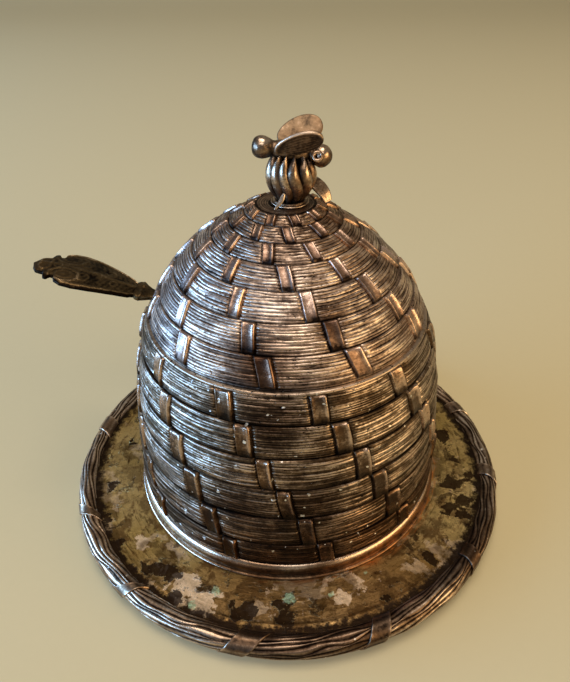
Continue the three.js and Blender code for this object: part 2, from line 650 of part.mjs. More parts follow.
/** Blossom: a core with a ring of upright petals that bulge and close in at the foot. */
function finialBlossom() {
  const coreHeight = BLOSSOM_HEIGHT * 0.9;
  const core = new THREE.CylinderGeometry(BUD_CORE_RADIUS, BUD_FOOT_RADIUS, coreHeight, 14);
  core.rotateX(Math.PI / 2);
  core.translate(0, 0, BLOSSOM_Z + coreHeight / 2);
  let bloom = solid(core);
  const petal = new THREE.SphereGeometry(1, 8, 6);
  petal.rotateX(Math.PI / 2);
  petal.scale(PETAL_RADIUS, PETAL_HALF_WIDTH, BLOSSOM_HEIGHT / 2);
  for (let i = 0; i < PETALS; i += 1) {
    const place = new THREE.Matrix4()
      .makeRotationZ((2 * Math.PI * (i + 0.5)) / PETALS)
      .multiply(new THREE.Matrix4().makeTranslation(
        BLOSSOM_RADIUS - PETAL_RADIUS,
        0,
        BLOSSOM_Z + BLOSSOM_HEIGHT / 2,
      ));
    bloom = bloom.add(solid(petal, place));
  }
  const socket = new THREE.CylinderGeometry(STUD_RADIUS + FIT_GAP, STUD_RADIUS + FIT_GAP, 8, 12);
  socket.rotateX(Math.PI / 2);
  socket.translate(0, 0, BLOSSOM_Z);
  return geometryOf(bloom.subtract(solid(socket)));
}

/** Bee: head, long thorax, waist and round tail turned about one axis, set nose up. */
function beeBody() {
  const profile = [[0, HEAD_X - HEAD_RADIUS]];
  const bulge = (middle, radius, halfLength, from, to, steps) => {
    for (let i = 0; i <= steps; i += 1) {
      const a = radians(from + ((to - from) * i) / steps);
      profile.push([radius * Math.sin(a), middle - halfLength * Math.cos(a)]);
    }
  };
  bulge(HEAD_X, HEAD_RADIUS, HEAD_RADIUS, 25, 148, 5);
  bulge(THORAX_X, THORAX_RADIUS, THORAX_HALF_LENGTH, 25, 150, 5);
  bulge(TAIL_X, TAIL_RADIUS, TAIL_RADIUS, 42, 155, 5);
  profile.push([0, TAIL_X + TAIL_RADIUS]);
  const g = new THREE.LatheGeometry(profile.map(([r, x]) => new THREE.Vector2(r, x)), 14);
  g.rotateZ(-Math.PI / 2);
  g.rotateY(radians(BEE_TILT));
  return welded(g);
}

/** Wing: an oval plate, swept up along the bee and leaning out to one side from its lowest edge. */
function wing(side, place) {
  const [long, wide] = [WING_LENGTH / 2, place.wide / 2];
  const sweep = radians(place.sweep);
  const shape = new THREE.Shape();
  shape.absellipse(0, 0, long, wide, 0, 2 * Math.PI);
  const g = new THREE.ExtrudeGeometry(shape, { depth: WING_THICK, bevelEnabled: false, curveSegments: 8 });
  g.rotateZ(sweep);
  g.translate(0, Math.hypot(long * Math.sin(sweep), wide * Math.cos(sweep)), -WING_THICK / 2);
  g.rotateX(radians(side < 0 ? 180 - place.rise : place.rise));
  return welded(g);
}

/** A flat bar along a curve, for the blossom's leaf and sprig. */
function bentBar(points, bar, steps) {
  const curve = new THREE.CatmullRomCurve3(points.map((p) => new THREE.Vector3(...p)));
  return welded(new THREE.ExtrudeGeometry(barSection(bar.wide, bar.thick), { steps, extrudePath: curve }));
}

/** Stud with its axis upright, between two heights. */
function upright(radius, low, high, sides) {
  const g = new THREE.CylinderGeometry(radius, radius, high - low, sides);
  g.rotateX(Math.PI / 2);
  g.translate(0, 0, (low + high) / 2);
  return g;
}

/** An upright ring with a round bore for the stud. */
function bored(radius, low, high, sides) {
  const bore = upright(STUD_RADIUS + FIT_GAP, low - 1, high + 1, 16);
  return geometryOf(solid(upright(radius, low, high, sides)).subtract(solid(bore)));
}

const pot = new THREE.Group();
pot.add(piece('underplate', underplate(), silverPlate));
pot.add(piece('straw_border', strawBorder(), silverBorder));
pot.add(piece('foot_ring', footRing(), silverBright));
pot.add(piece('hive_body', hiveBody(), silverBody));
pot.add(piece('liner_ledge', linerLedge(), silverBright));
pot.add(piece('glass_liner', linerBeaker(), glassClear));

const spoon = new THREE.Group();
spoon.rotation.z = radians(SPOON_AZIMUTH - 90);
spoon.add(piece('spoon_bowl', spoonBowl(), spoonDark));
spoon.add(piece('spoon_stem', spoonStem(), spoonDark));
spoon.add(piece('spoon_leaf', spoonLeaf(), spoonDark));
pot.add(spoon);

pot.add(piece('lid_shell', lidShell(), silverLid));
pot.add(piece('lid_bezel', lidBezel(), silverBright));

const finial = new THREE.Group();
finial.position.x = FINIAL_X;
finial.add(piece('finial_seat', finialSeat(), bronzeDark));
finial.add(piece('finial_blossom', finialBlossom(), bronzeDark));

const leafSide = BLOSSOM_RADIUS + LEAF_BAR.clear;
const leafLine = [
  [leafSide, 1.6, BLOSSOM_Z + BLOSSOM_HEIGHT * 0.54],
  [leafSide + LEAF_BAR.reach * 0.7, 0.3, BLOSSOM_Z + BLOSSOM_HEIGHT * 0.33],
  [leafSide + LEAF_BAR.reach, -1.6, CROWN_Z - 0.5],
];
finial.add(piece('blossom_leaf', bentBar(leafLine, LEAF_BAR, 8), bronzeDark));
const sprigSide = -BLOSSOM_RADIUS - SPRIG_BAR.clear;
const sprigLine = [
  [-1.8, sprigSide, BLOSSOM_Z + BLOSSOM_HEIGHT * 0.4],
  [-2.8, sprigSide - 0.6, BLOSSOM_Z + BLOSSOM_HEIGHT * 0.23],
  [-4.0, sprigSide - 0.9, BLOSSOM_Z + BLOSSOM_HEIGHT * 0.04],
];
finial.add(piece('blossom_sprig', bentBar(sprigLine, SPRIG_BAR, 5), bronzeDark));

const bee = new THREE.Group();
bee.position.z = BLOSSOM_Z + BLOSSOM_HEIGHT + BEE_RIDE;
bee.add(piece('bee_body', beeBody(), bronzeDark));
for (const [name, side, place] of [['wing_front', -1, FRONT_WING], ['wing_rear', 1, REAR_WING]]) {
  const blade = piece(name, wing(side, place), bronzeDark);
  blade.position.set(THORAX_X, side * (THORAX_RADIUS + FIT_GAP + WING_THICK / 2), WING_FOOT_Z);
  bee.add(blade);
}
finial.add(bee);

const NUT_TOP_Z = CROWN_Z - LID_WALL - FIT_GAP - WASHER_THICK - FIT_GAP;
finial.add(piece('finial_stud', upright(STUD_RADIUS, NUT_TOP_Z - NUT_HEIGHT - 1.2, BLOSSOM_Z + 3.6, 16), silverBright));
const washerLow = CROWN_Z - LID_WALL - FIT_GAP - WASHER_THICK;
finial.add(piece('finial_washer', bored(WASHER_RADIUS, washerLow, washerLow + WASHER_THICK, 24), silverBright));
finial.add(piece('finial_nut', bored(NUT_RADIUS, NUT_TOP_Z - NUT_HEIGHT, NUT_TOP_Z, 6), silverBright));
pot.add(finial);

export default pot;
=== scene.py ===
"""Honey pot in the form of a straw skep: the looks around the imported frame.
Arrays are in millimetres and meshes in metres. The front is -Y, and an azimuth turns from it to +X."""

import math

import bpy
import numpy as np
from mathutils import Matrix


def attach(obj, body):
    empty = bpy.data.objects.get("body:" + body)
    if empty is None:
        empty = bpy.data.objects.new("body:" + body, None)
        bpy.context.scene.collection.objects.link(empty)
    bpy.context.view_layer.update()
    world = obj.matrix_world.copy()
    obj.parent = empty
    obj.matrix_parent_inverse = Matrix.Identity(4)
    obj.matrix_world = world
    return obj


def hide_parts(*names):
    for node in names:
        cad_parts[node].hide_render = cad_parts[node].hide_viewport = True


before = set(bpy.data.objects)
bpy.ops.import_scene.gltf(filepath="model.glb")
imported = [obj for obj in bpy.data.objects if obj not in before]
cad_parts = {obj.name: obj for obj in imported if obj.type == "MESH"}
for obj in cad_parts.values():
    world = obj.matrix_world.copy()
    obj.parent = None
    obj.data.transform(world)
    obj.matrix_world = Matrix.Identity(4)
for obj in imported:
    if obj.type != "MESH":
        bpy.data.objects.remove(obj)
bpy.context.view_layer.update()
scene = bpy.context.scene
MM = 0.001

# Camera
# It stands above the front and looks down on the pot, as the photograph was taken.
CAMERA_PLACE = (0.0, -162.5, 176.8)
CAMERA_TURN = (54.186, 0.387, -0.190)
CAMERA_LENS = 32.3
CAMERA_SHIFT = -0.0014

camera = bpy.data.objects.new("camera", bpy.data.cameras.new("camera"))
scene.collection.objects.link(camera)
camera.location = [v * MM for v in CAMERA_PLACE]
camera.rotation_euler = [math.radians(v) for v in CAMERA_TURN]
camera.data.lens = CAMERA_LENS
camera.data.shift_x = CAMERA_SHIFT
camera.data.clip_start = 0.01
scene.camera = camera
scene.view_settings.view_transform = "Standard"


# Floor
# A plain pale sheet that curves up far behind the pot, as a studio backdrop does.
class Shader:
    """A material's nodes with short calls. Each call returns an output socket."""

    def __init__(self, name):
        self.material = bpy.data.materials.new(name)
        self.material.use_nodes = True
        self.nodes = self.material.node_tree.nodes
        self.links = self.material.node_tree.links
        self.surface = self.nodes["Principled BSDF"]
        self.place = self.nodes.new("ShaderNodeTexCoord").outputs["Object"]

    def put(self, socket, value):
        """Sets a socket to a number or colour, or links it to another node's output."""
        if isinstance(value, bpy.types.NodeSocket):
            self.links.new(value, socket)
        elif isinstance(value, tuple) and len(value) == 3 and socket.type == "RGBA":
            socket.default_value = (*value, 1.0)
        else:
            socket.default_value = value

    def finish(self, **values):
        """Sets the surface's own sockets, such as Metallic or Base_Color."""
        for name, value in values.items():
            self.put(self.surface.inputs[name.replace("_", " ")], value)
        return self.material

    def math(self, operation, a, b=0.0):
        node = self.nodes.new("ShaderNodeMath")
        node.operation = operation
        self.put(node.inputs[0], a)
        self.put(node.inputs[1], b)
        return node.outputs[0]

    def layer(self, name):
        """A number that the mesh holds at each of its points."""
        node = self.nodes.new("ShaderNodeAttribute")
        node.attribute_name = name
        return node.outputs["Fac"]

    def stretched(self, scale, source=None):
        """The place on the object, stretched by a factor along each axis."""
        node = self.nodes.new("ShaderNodeMapping")
        self.put(node.inputs["Vector"], source or self.place)
        node.inputs["Scale"].default_value = scale
        return node.outputs[0]

    def vector(self, operation, a, b=(0.0, 0.0, 0.0)):
        node = self.nodes.new("ShaderNodeVectorMath")
        node.operation = operation
        self.put(node.inputs[0], a)
        self.put(node.inputs[1], b)
        return node.outputs["Value" if operation == "LENGTH" else "Vector"]

    def axis(self, name):
        """The place on the object along one axis, in metres."""
        node = self.nodes.new("ShaderNodeSeparateXYZ")
        self.put(node.inputs[0], self.place)
        return node.outputs[name]

    def upright(self, height):
        """A vector that stands upright and is as long as a number."""
        node = self.nodes.new("ShaderNodeCombineXYZ")
        self.put(node.inputs["Z"], height)
        return node.outputs[0]

    def distance(self, x, y, z):
        """How far the place is from a point in millimetres, in metres."""
        return self.vector("LENGTH", self.vector("SUBTRACT", self.place, (x * MM, y * MM, z * MM)))

    def ring_way(self, long, wide, height=None, radius=0.07):
        """The place laid out so that noise of size 1 mm is long millimetres round the axis and wide across
        it. The way across is a height in millimetres, or else the distance from the axis. Then the length
        holds at a radius in metres."""
        flat = self.vector("MULTIPLY", self.place, (1.0, 1.0, 0.0))
        if height is None:
            across = self.math("MULTIPLY", self.vector("LENGTH", flat), 1.0 / wide)
            flat = self.vector("MULTIPLY", self.vector("NORMALIZE", flat), (radius, radius, 0.0))
        else:
            across = self.math("MULTIPLY", height, MM / wide)
        shrunk = self.vector("MULTIPLY", flat, (1 / long, 1 / long, 0.0))
        return self.vector("ADD", shrunk, self.upright(across))

    def noise(self, size, detail=4.0, rough=0.55, place=None, warp=0.0):
        """Cloudy noise whose spots are about size millimetres across."""
        node = self.nodes.new("ShaderNodeTexNoise")
        self.put(node.inputs["Vector"], place or self.place)
        node.inputs["Scale"].default_value = 1 / (size * MM)
        node.inputs["Detail"].default_value = detail
        node.inputs["Roughness"].default_value = rough
        node.inputs["Distortion"].default_value = warp
        return node.outputs["Fac"]

    def ramp(self, value, low, high, to_low=0.0, to_high=1.0):
        """A number eased from one range into another."""
        node = self.nodes.new("ShaderNodeMapRange")
        node.interpolation_type = "SMOOTHSTEP"
        self.put(node.inputs["Value"], value)
        limits = {"From Min": low, "From Max": high, "To Min": to_low, "To Max": to_high}
        for name, number in limits.items():
            node.inputs[name].default_value = number
        return node.outputs[0]

    def mix(self, share, a, b, kind="MIX"):
        """Colour a turned into colour b by a share."""
        node = self.nodes.new("ShaderNodeMix")
        node.data_type = "RGBA"
        node.blend_type = kind
        self.put(node.inputs["Factor"], share)
        self.put(node.inputs[6], a)
        self.put(node.inputs[7], b)
        return node.outputs[2]

    def bump(self, height, depth, before=None):
        """Small relief whose full height is depth millimetres."""
        node = self.nodes.new("ShaderNodeBump")
        self.put(node.inputs["Height"], height)
        node.inputs["Distance"].default_value = depth * MM
        if before is not None:
            self.put(node.inputs["Normal"], before)
        return node.outputs[0]


def surface(name, grid, ring=False, poles=(None, None), **layers):
    """A smooth mesh over a grid of points. Rows run along the profile, outside upwards, and columns go
    round anticlockwise from above, so faces point out. A ring joins the last row to the first; a pole
    is a point that closes the first or the last row with a fan."""
    rows, columns = grid.shape[:2]
    index = np.arange(rows * columns).reshape(rows, columns)
    loop = np.vstack([index, index[:1]]) if ring else index
    low, high = loop[:-1], loop[1:]
    faces = [np.stack([low, np.roll(low, -1, 1), np.roll(high, -1, 1), high], -1).reshape(-1, 4)]
    points = [grid.reshape(-1, 3)]
    values = {key: [np.broadcast_to(value, (rows, columns)).ravel()] for key, value in layers.items()}
    count = rows * columns
    for end, pole in enumerate(poles):
        if pole is None:
            continue
        rim = index[-1] if end else index[0]
        tip = np.full(columns, count)
        count += 1
        after = np.roll(rim, -1)
        faces.append(np.stack([rim, after, tip] if end else [after, rim, tip], -1))
        points.append(np.array([pole], float))
        for key in values:
            values[key].append(values[key][0][rim[:1]])
    points = np.concatenate(points) * MM
    corners = np.concatenate([face.ravel() for face in faces])
    sizes = np.concatenate([np.full(len(face), face.shape[1]) for face in faces])
    mesh = bpy.data.meshes.new(name)
    mesh.vertices.add(len(points))
    mesh.vertices.foreach_set("co", points.astype(np.float32).ravel())
    mesh.loops.add(len(corners))
    mesh.loops.foreach_set("vertex_index", corners.astype(np.int32))
    mesh.polygons.add(len(sizes))
    mesh.polygons.foreach_set("loop_start", (np.cumsum(sizes) - sizes).astype(np.int32))
    for key, parts in values.items():
        attribute = mesh.attributes.new(key, "FLOAT", "POINT")
        attribute.data.foreach_set("value", np.concatenate(parts).astype(np.float32))
    mesh.update(calc_edges=True)
    mesh.polygons.foreach_set("use_smooth", np.ones(len(sizes), bool))
    piece = bpy.data.objects.new(name, mesh)
    scene.collection.objects.link(piece)
    return piece


FLOOR_REACH = 2500.0
FLOOR_RISE = 900.0
FLOOR_POINTS = 41
FLOOR_PALE = (0.60, 0.54, 0.33)

floor_line = np.linspace(-1, 1, FLOOR_POINTS) * FLOOR_REACH
floor_x, floor_y = np.meshgrid(floor_line, floor_line)
floor_z = FLOOR_RISE * np.clip((floor_y - 0.5 * FLOOR_REACH) / (0.5 * FLOOR_REACH), 0, 1) ** 2
floor_points = np.stack([floor_x, floor_y, floor_z], -1).reshape(-1, 3) * MM
corner = np.arange((FLOOR_POINTS - 1) * FLOOR_POINTS).reshape(-1, FLOOR_POINTS)[:, :-1].ravel()
floor_faces = np.stack([corner, corner + 1, corner + FLOOR_POINTS + 1, corner + FLOOR_POINTS], -1)
backdrop = bpy.data.meshes.new("floor")
backdrop.from_pydata(floor_points, [], floor_faces)
backdrop.polygons.foreach_set("use_smooth", np.ones(len(backdrop.polygons), bool))
floor = bpy.data.objects.new("floor", backdrop)
scene.collection.objects.link(floor)
paper = Shader("floor_paper")
grain = paper.noise(3.0, 6.0)
backdrop.materials.append(paper.finish(
    Base_Color=paper.mix(grain, FLOOR_PALE, tuple(0.97 * v for v in FLOOR_PALE)),
    Roughness=0.9,
    Specular_IOR_Level=0.1,
))


# Lights
# A cool window at the left, a broad pale room in front, a warm lamp at the right and a faint ceiling.
AIM_HEIGHT = 0.06
ROOM_COLOUR = (1.0, 0.86, 0.68, 1.0)
ROOM_LEVEL = 0.20


def lamp(name, place, size, watts, colour):
    """A rectangular lamp that faces the middle of the pot."""
    light = bpy.data.lights.new(name, "AREA")
    light.shape = "RECTANGLE"
    light.size, light.size_y = size
    light.energy = watts
    light.color = colour
    holder = bpy.data.objects.new(name, light)
    scene.collection.objects.link(holder)
    holder.location = place
    back = holder.location.copy()
    back.z -= AIM_HEIGHT
    holder.rotation_euler = back.to_track_quat("Z", "Y").to_euler()


lamp("window", (-1.3, -0.26, 0.26), (1.75, 0.46), 38.0, (0.27, 0.54, 1.0))
lamp("front_room", (-0.1, -1.2, 1.65), (1.2, 0.6), 7.5, (1.0, 0.86, 0.76))
lamp("warm_lamp", (1.15, -0.60, 0.36), (1.2, 0.7), 9.5, (1.0, 0.66, 0.32))
lamp("ceiling", (0.0, -0.15, 1.9), (1.2, 1.0), 17.0, (1.0, 0.85, 0.72))
world = bpy.data.worlds.new("room")
scene.world = world
world.use_nodes = True
world.node_tree.nodes["Background"].inputs["Color"].default_value = ROOM_COLOUR
world.node_tree.nodes["Background"].inputs["Strength"].default_value = ROOM_LEVEL

# Plate
# A spun silver-plated disc with a sunk well. Its plating is worn through in patches, and old polish
# and tarnish lie in brown clouds, with a few green spots.
PLATE_TOP = 7.2
PLATE_UNDER = 6.0
WELL_RADIUS = 42.5
WELL_FLARE = 3.5
PLATE_EDGE = 71.6


def rounded(profile, times=2):
    """A profile with its corners cut: each pass puts points at a quarter and three quarters of each
    side."""
    line = np.array(profile, float)
    for _ in range(times):
        a, b = line[:-1], line[1:]
        cut = np.stack([0.75 * a + 0.25 * b, 0.25 * a + 0.75 * b], 1).reshape(-1, 2)
        line = np.vstack([line[:1], cut, line[-1:]])
    return line


def wound(r, z, azimuth):
    """Points at a radius, a height and an azimuth in radians: x is r times sin, y is -r times cos."""
    return np.stack([r * np.sin(azimuth), -r * np.cos(azimuth), z + 0 * azimuth], -1)


def full_turn(columns):
    """The azimuths of evenly spaced columns, in radians."""
    return np.arange(columns) * 2 * np.pi / columns


def turned(profile, columns):
    """The grid that a profile of (radius, height) sweeps in a turn."""
    line = np.array(profile, float)
    return wound(line[:, :1], line[:, 1:], full_turn(columns))


def dressed(piece, material, body, slot, *nodes):
    """Gives a piece its material and its body, and hides the frame's nodes that it stands for. The slot is
    not used.
    """
    piece.data.materials.clear()
    piece.data.materials.append(material)
    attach(piece, body)
    if nodes:
        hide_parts(*nodes)


# Spots of the plate that catch the eye: x, y and radius in millimetres
DARK_SPOTS = [
    (-37.5, -49.2, 3.1), (-34.0, -58.4, 1.7), (-14.2, -63.0, 3.3), (-1.6, -63.8, 3.5),
    (-44.5, -48.5, 1.6), (-55.5, -40.5, 2.3), (-60.5, -29.5, 2.6), (-63.0, -16.0, 2.0),
    (-62.0, -6.0, 1.6), (-59.0, 6.0, 2.2), (30.0, -59.0, 1.8), (45.0, -45.0, 1.6),
    (55.0, -25.5, 2.0), (59.5, -29.0, 2.0), (61.0, -21.5, 2.9), (58.5, -14.5, 3.1),
    (62.0, -4.5, 2.3), (62.0, 2.5, 2.0), (60.0, 9.0, 2.5), (57.0, 15.5, 2.7),
    (54.0, 20.5, 2.4), (64.5, -12.0, 1.3),
]
PALE_SPOTS = [
    (-31.0, -55.2, 4.2), (-25.5, -59.6, 3.6), (21.0, -54.4, 2.0), (15.5, -59.6, 1.7), (-47.0, -38.0, 2.0),
]
GREEN_SPOTS = [
    (-0.2, -59.0, 1.5), (-22.3, -56.2, 1.3), (24.0, -50.5, 0.8), (12.5, -57.8, 0.8), (-29.0, -61.0, 0.9),
]
OLIVE = (0.53, 0.375, 0.120)
PALE_OLIVE = (0.76, 0.58, 0.25)
FRONT_BROWN = (0.33, 0.19, 0.075)
UMBER = (0.22, 0.105, 0.024)
CLOUD_BROWN = (0.17, 0.095, 0.03)
STREAK_BROWN = (0.11, 0.058, 0.014)
MOTTLE_BROWN = (0.13, 0.070, 0.022)
STAIN_BROWN = (0.085, 0.046, 0.012)
BLOTCH_BLACK = (0.022, 0.010, 0.003)
BARE_METAL = (0.86, 0.66, 0.43)
SCRATCH_DARK = (0.05, 0.034, 0.016)
SCRATCH_PALE = (0.62, 0.52, 0.36)
# Grime with painted shade, in a ring where the plate meets the border
DIRT_AND_SHADE = (0.025, 0.014, 0.007)
# Coppery wear by the hive, shaded at the left and lit at the right: the change between the two is a painted
# warm reflection
COPPER_SHADED = (0.17, 0.065, 0.018)
COPPER_LIT = (0.68, 0.25, 0.055)
VERDIGRIS = (0.33, 0.50, 0.30)


def spots(s, flaky, places, reach):
    """1 within any of the spots and 0 outside, with rims that wander as far as reach millimetres."""
    deepest = s.ramp(flaky, 0.25, 0.75, -reach * MM, reach * MM)
    inside = -1.0
    for x, y, size in places:
        within = s.math("SUBTRACT", size * MM, s.distance(x, y, PLATE_TOP))
        inside = s.math("MAXIMUM", within, inside)
    return s.ramp(s.math("ADD", inside, deepest), 0.0, 0.4 * MM)


def olive_clouds(s, grain, streak):
    """The plate's ground: olive silver that is browner in front, with brown clouds, streaks and mottles."""
    front = s.ramp(s.axis("Y"), -0.035, -0.062)
    right_front = s.math("MULTIPLY", s.ramp(s.axis("X"), 0.012, 0.036), s.ramp(s.axis("Y"), -0.028, -0.050))
    mottle = s.ramp(s.noise(6.5, 7.0, 0.66, warp=0.2), 0.47, 0.57)
    mottle = s.math("MULTIPLY", mottle, s.ramp(s.axis("Y"), -0.01, -0.045, 0.5, 0.9))
    base = s.mix(s.ramp(s.noise(26.0, 3.0, 0.5), 0.35, 0.65), OLIVE, PALE_OLIVE)
    base = s.mix(s.math("MULTIPLY", front, 0.8), base, FRONT_BROWN)
    base = s.mix(s.math("MULTIPLY", right_front, 0.6), base, UMBER)
    base = s.mix(s.ramp(grain, 0.49, 0.72), base, CLOUD_BROWN)
    base = s.mix(s.ramp(streak, 0.52, 0.70), base, STREAK_BROWN)
    return s.mix(mottle, base, MOTTLE_BROWN)


def plate_silver():
    """Worn plate: olive clouds, bare pale patches, brown stains, ragged dark blotches, a dark ring of grime
    and painted shade beside the border, coppery wear beside the hive painted brighter towards the right as
    a warm reflection, green spots, and streaks that run round as from polishing."""
    s = Shader("plate_silver")
    radius = s.vector("LENGTH", s.vector("MULTIPLY", s.place, (1.0, 1.0, 0.0)))
    ragged = s.noise(9.0, 9.0, 0.68, warp=0.5)
    flaky = s.noise(5.0, 8.0, 0.65, warp=0.3)
    fine = s.noise(0.8, 6.0, 0.7)
    grain = s.noise(2.6, 6.0, 0.7)
    streak = s.noise(1.0, 5.0, 0.65, place=s.ring_way(8.0, 0.9))
    pale = s.ramp(s.noise(15.0, 9.0, 0.68, warp=0.4), 0.55, 0.575)
    pale = s.math("MAXIMUM", s.math("MULTIPLY", pale, 0.6), spots(s, flaky, PALE_SPOTS, 3.6))
    pale = s.math("MULTIPLY", pale, s.ramp(grain, 0.3, 0.6, 1.0, 0.55))
    base = s.mix(pale, olive_clouds(s, grain, streak), BARE_METAL)
    stain = s.ramp(s.noise(16.0, 6.0, 0.62, warp=0.3), 0.53, 0.60)
    base = s.mix(s.math("MULTIPLY", stain, 0.6), base, STAIN_BROWN)
    sides = s.ramp(s.math("ABSOLUTE", s.axis("X")), 0.050, 0.060, 0.0, 0.035)
    dark = s.ramp(s.math("ADD", ragged, sides), 0.58, 0.61)
    dark = s.math("MAXIMUM", s.math("MULTIPLY", dark, 0.8), spots(s, flaky, DARK_SPOTS, 3.0))
    base = s.mix(s.math("MULTIPLY", dark, 0.95), base, BLOTCH_BLACK)
    base = s.mix(s.ramp(fine, 0.58, 0.70), base, SCRATCH_DARK)
    base = s.mix(s.ramp(fine, 0.36, 0.26), base, SCRATCH_PALE)
    # Grime and painted shade: darker in a ring where the plate meets the border
    dirt_and_shade = s.math("ADD", s.ramp(radius, 0.0650, 0.0705), s.ramp(grain, 0.3, 0.7, -0.35, 0.35))
    base = s.mix(s.ramp(dirt_and_shade, 0.25, 0.85), base, DIRT_AND_SHADE)
    # Worn coppery ring round the hive's foot; its tone is painted brighter towards the right as a warm
    # reflection
    copper_sheen = s.math("MULTIPLY", s.ramp(radius, 0.0560, 0.0535), s.ramp(streak, 0.40, 0.52, 1.0, 0.05))
    copper_lit_right = s.mix(s.ramp(s.axis("X"), 0.0, 0.035), COPPER_SHADED, COPPER_LIT)
    base = s.mix(s.math("MULTIPLY", copper_sheen, 0.8), base, copper_lit_right)
    green = s.math("MULTIPLY", spots(s, flaky, GREEN_SPOTS, 1.6), s.ramp(fine, 0.3, 0.6, 1.0, 0.3))
    base = s.mix(green, base, VERDIGRIS)
    rough = s.math("ADD", s.ramp(dark, 0.0, 1.0, 0.36, 0.6), s.ramp(grain, 0.3, 0.7, -0.10, 0.14))
    relief = s.bump(dark, 0.06, s.bump(fine, 0.07, s.bump(streak, 0.08, s.bump(ragged, 0.25))))
    metal = s.math("MULTIPLY", s.ramp(green, 0.0, 1.0, 0.94, 0.1), s.ramp(pale, 0.0, 1.0, 1.0, 0.5))
    return s.finish(Base_Color=base, Metallic=metal, Roughness=rough, Normal=relief)


plate_outside = rounded([
    (0.5, 0.0), (WELL_RADIUS, 0.0), (WELL_RADIUS + WELL_FLARE, 5.6), (48.0, PLATE_UNDER),
    (PLATE_EDGE, PLATE_UNDER), (PLATE_EDGE, PLATE_TOP), (68.6, PLATE_TOP), (67.4, PLATE_TOP + 0.2),
    (66.6, PLATE_TOP), (58.0, PLATE_TOP), (50.0, PLATE_TOP), (46.2, PLATE_TOP),
    (WELL_RADIUS, 1.3), (40.5, 1.2), (0.5, 1.2),
])
plate = surface("plate", turned(plate_outside, 320), poles=((0, 0, 0), (0, 0, 1.2)))
dressed(plate, plate_silver(), "base", "plate_silver", "underplate")

# Straw border
# A bundle of long straws cast round the plate's edge. The strands wind slowly round the bundle and
# swell between their bindings.
BORDER_RADIUS = 72.9
BORDER_HEIGHT = 5.6
BORDER_REACH = 76.25
BORDER_CLEAR = 1.0
BUNDLE = 3.05
BUNDLE_SWELL = 0.3
STRANDS = 15
STRAND_LEVELS = 5
STRAND_TWIST = 2
STRAND_BULGE = 0.32
STRAND_SINK = 0.30
BINDINGS = 12
BINDING_TURN = -10.0
BRONZE_TINT = (1.0, 0.88, 0.72)
GREY_TINT = (0.92, 0.97, 1.0)
STRAP_TINT = (1.0, 0.93, 0.93)
# Tint of the round patches: tarnish on the foot ring, painted shade elsewhere
SMUDGE_AND_SHADE_TINT = (0.34, 0.28, 0.24)
# Coppery tint shown at the right of the foot ring: worn plating with a painted warm reflection
COPPER_SHEEN_TINT = (0.55, 0.22, 0.07)
DUST = (0.72, 0.68, 0.60)


def ripple(angle, seed, low, high, terms=7):
    """Smooth noise that closes in a turn: seeded sines with whole frequencies between low and high."""
    dice = np.random.default_rng(seed)
    pitch = dice.integers(low, high, terms)
    start = dice.uniform(0, 2 * np.pi, terms)
    return np.sin(np.multiply.outer(angle, pitch) + start).sum(-1) / math.sqrt(terms / 2)


def facing(azimuth, heading):
    """1 where an azimuth in radians faces a heading in degrees, 0 on the far side, by a cosine."""
    return 0.5 + 0.5 * np.cos(azimuth - math.radians(heading))


def straw_wear(s, wear, strap):
    """Wear with lines and nicks that run along the rows of straw, and are fainter on the straps. Returns
    it with the lines and the nicks' pits."""
    rise = s.layer("rise")
    lines = s.noise(1.0, 3.0, 0.6, place=s.ring_way(16.0, 0.34, rise))
    nicks = s.noise(1.0, 4.0, 0.6, place=s.ring_way(1.3, 0.40, rise))
    open_straw = s.ramp(strap, 0.2, 0.8, 1.0, 0.25)
    wear = s.math("ADD", wear, s.math("MULTIPLY", s.ramp(lines, 0.32, 0.66, -0.24, 0.14), open_straw))
    pit = s.math("MULTIPLY", s.ramp(nicks, 0.60, 0.68), open_straw)
    return s.math("SUBTRACT", wear, s.math("MULTIPLY", pit, 0.6)), lines, pit


def stained(s, base, patch, height_darkening, smudges_and_shade, copper_sheen):
    """A colour darkened from one height to another, round dark patches of tarnish and painted shade, and
    coppery wear at the right that is painted brighter as a warm reflection.
    """
    if height_darkening:
        # Darkening by height: painted shade towards the foot on the body; the lid is darker towards its top
        dark_from, dark_to, tint = height_darkening
        base = s.mix(s.ramp(s.axis("Z"), dark_from, dark_to, 1.0, 0.0), base, tint, "MULTIPLY")
    # Round patches: tarnish on the foot ring, painted shade and dark reflection on the border, body and lid
    for x, y, z, size in smudges_and_shade:
        near = s.ramp(s.distance(x, y, z), 0.2 * size * MM, size * MM, 1.0, 0.0)
        base = s.mix(near, base, SMUDGE_AND_SHADE_TINT, "MULTIPLY")
    # Coppery wear kept to the right side, painted as the warm lamp's reflection
    if copper_sheen:
        share = s.math("MULTIPLY", s.ramp(s.axis("X"), 0.0, 0.035, 0.0, copper_sheen), s.ramp(patch, 0.35, 0.6))
        base = s.mix(share, base, COPPER_SHEEN_TINT)
    return base


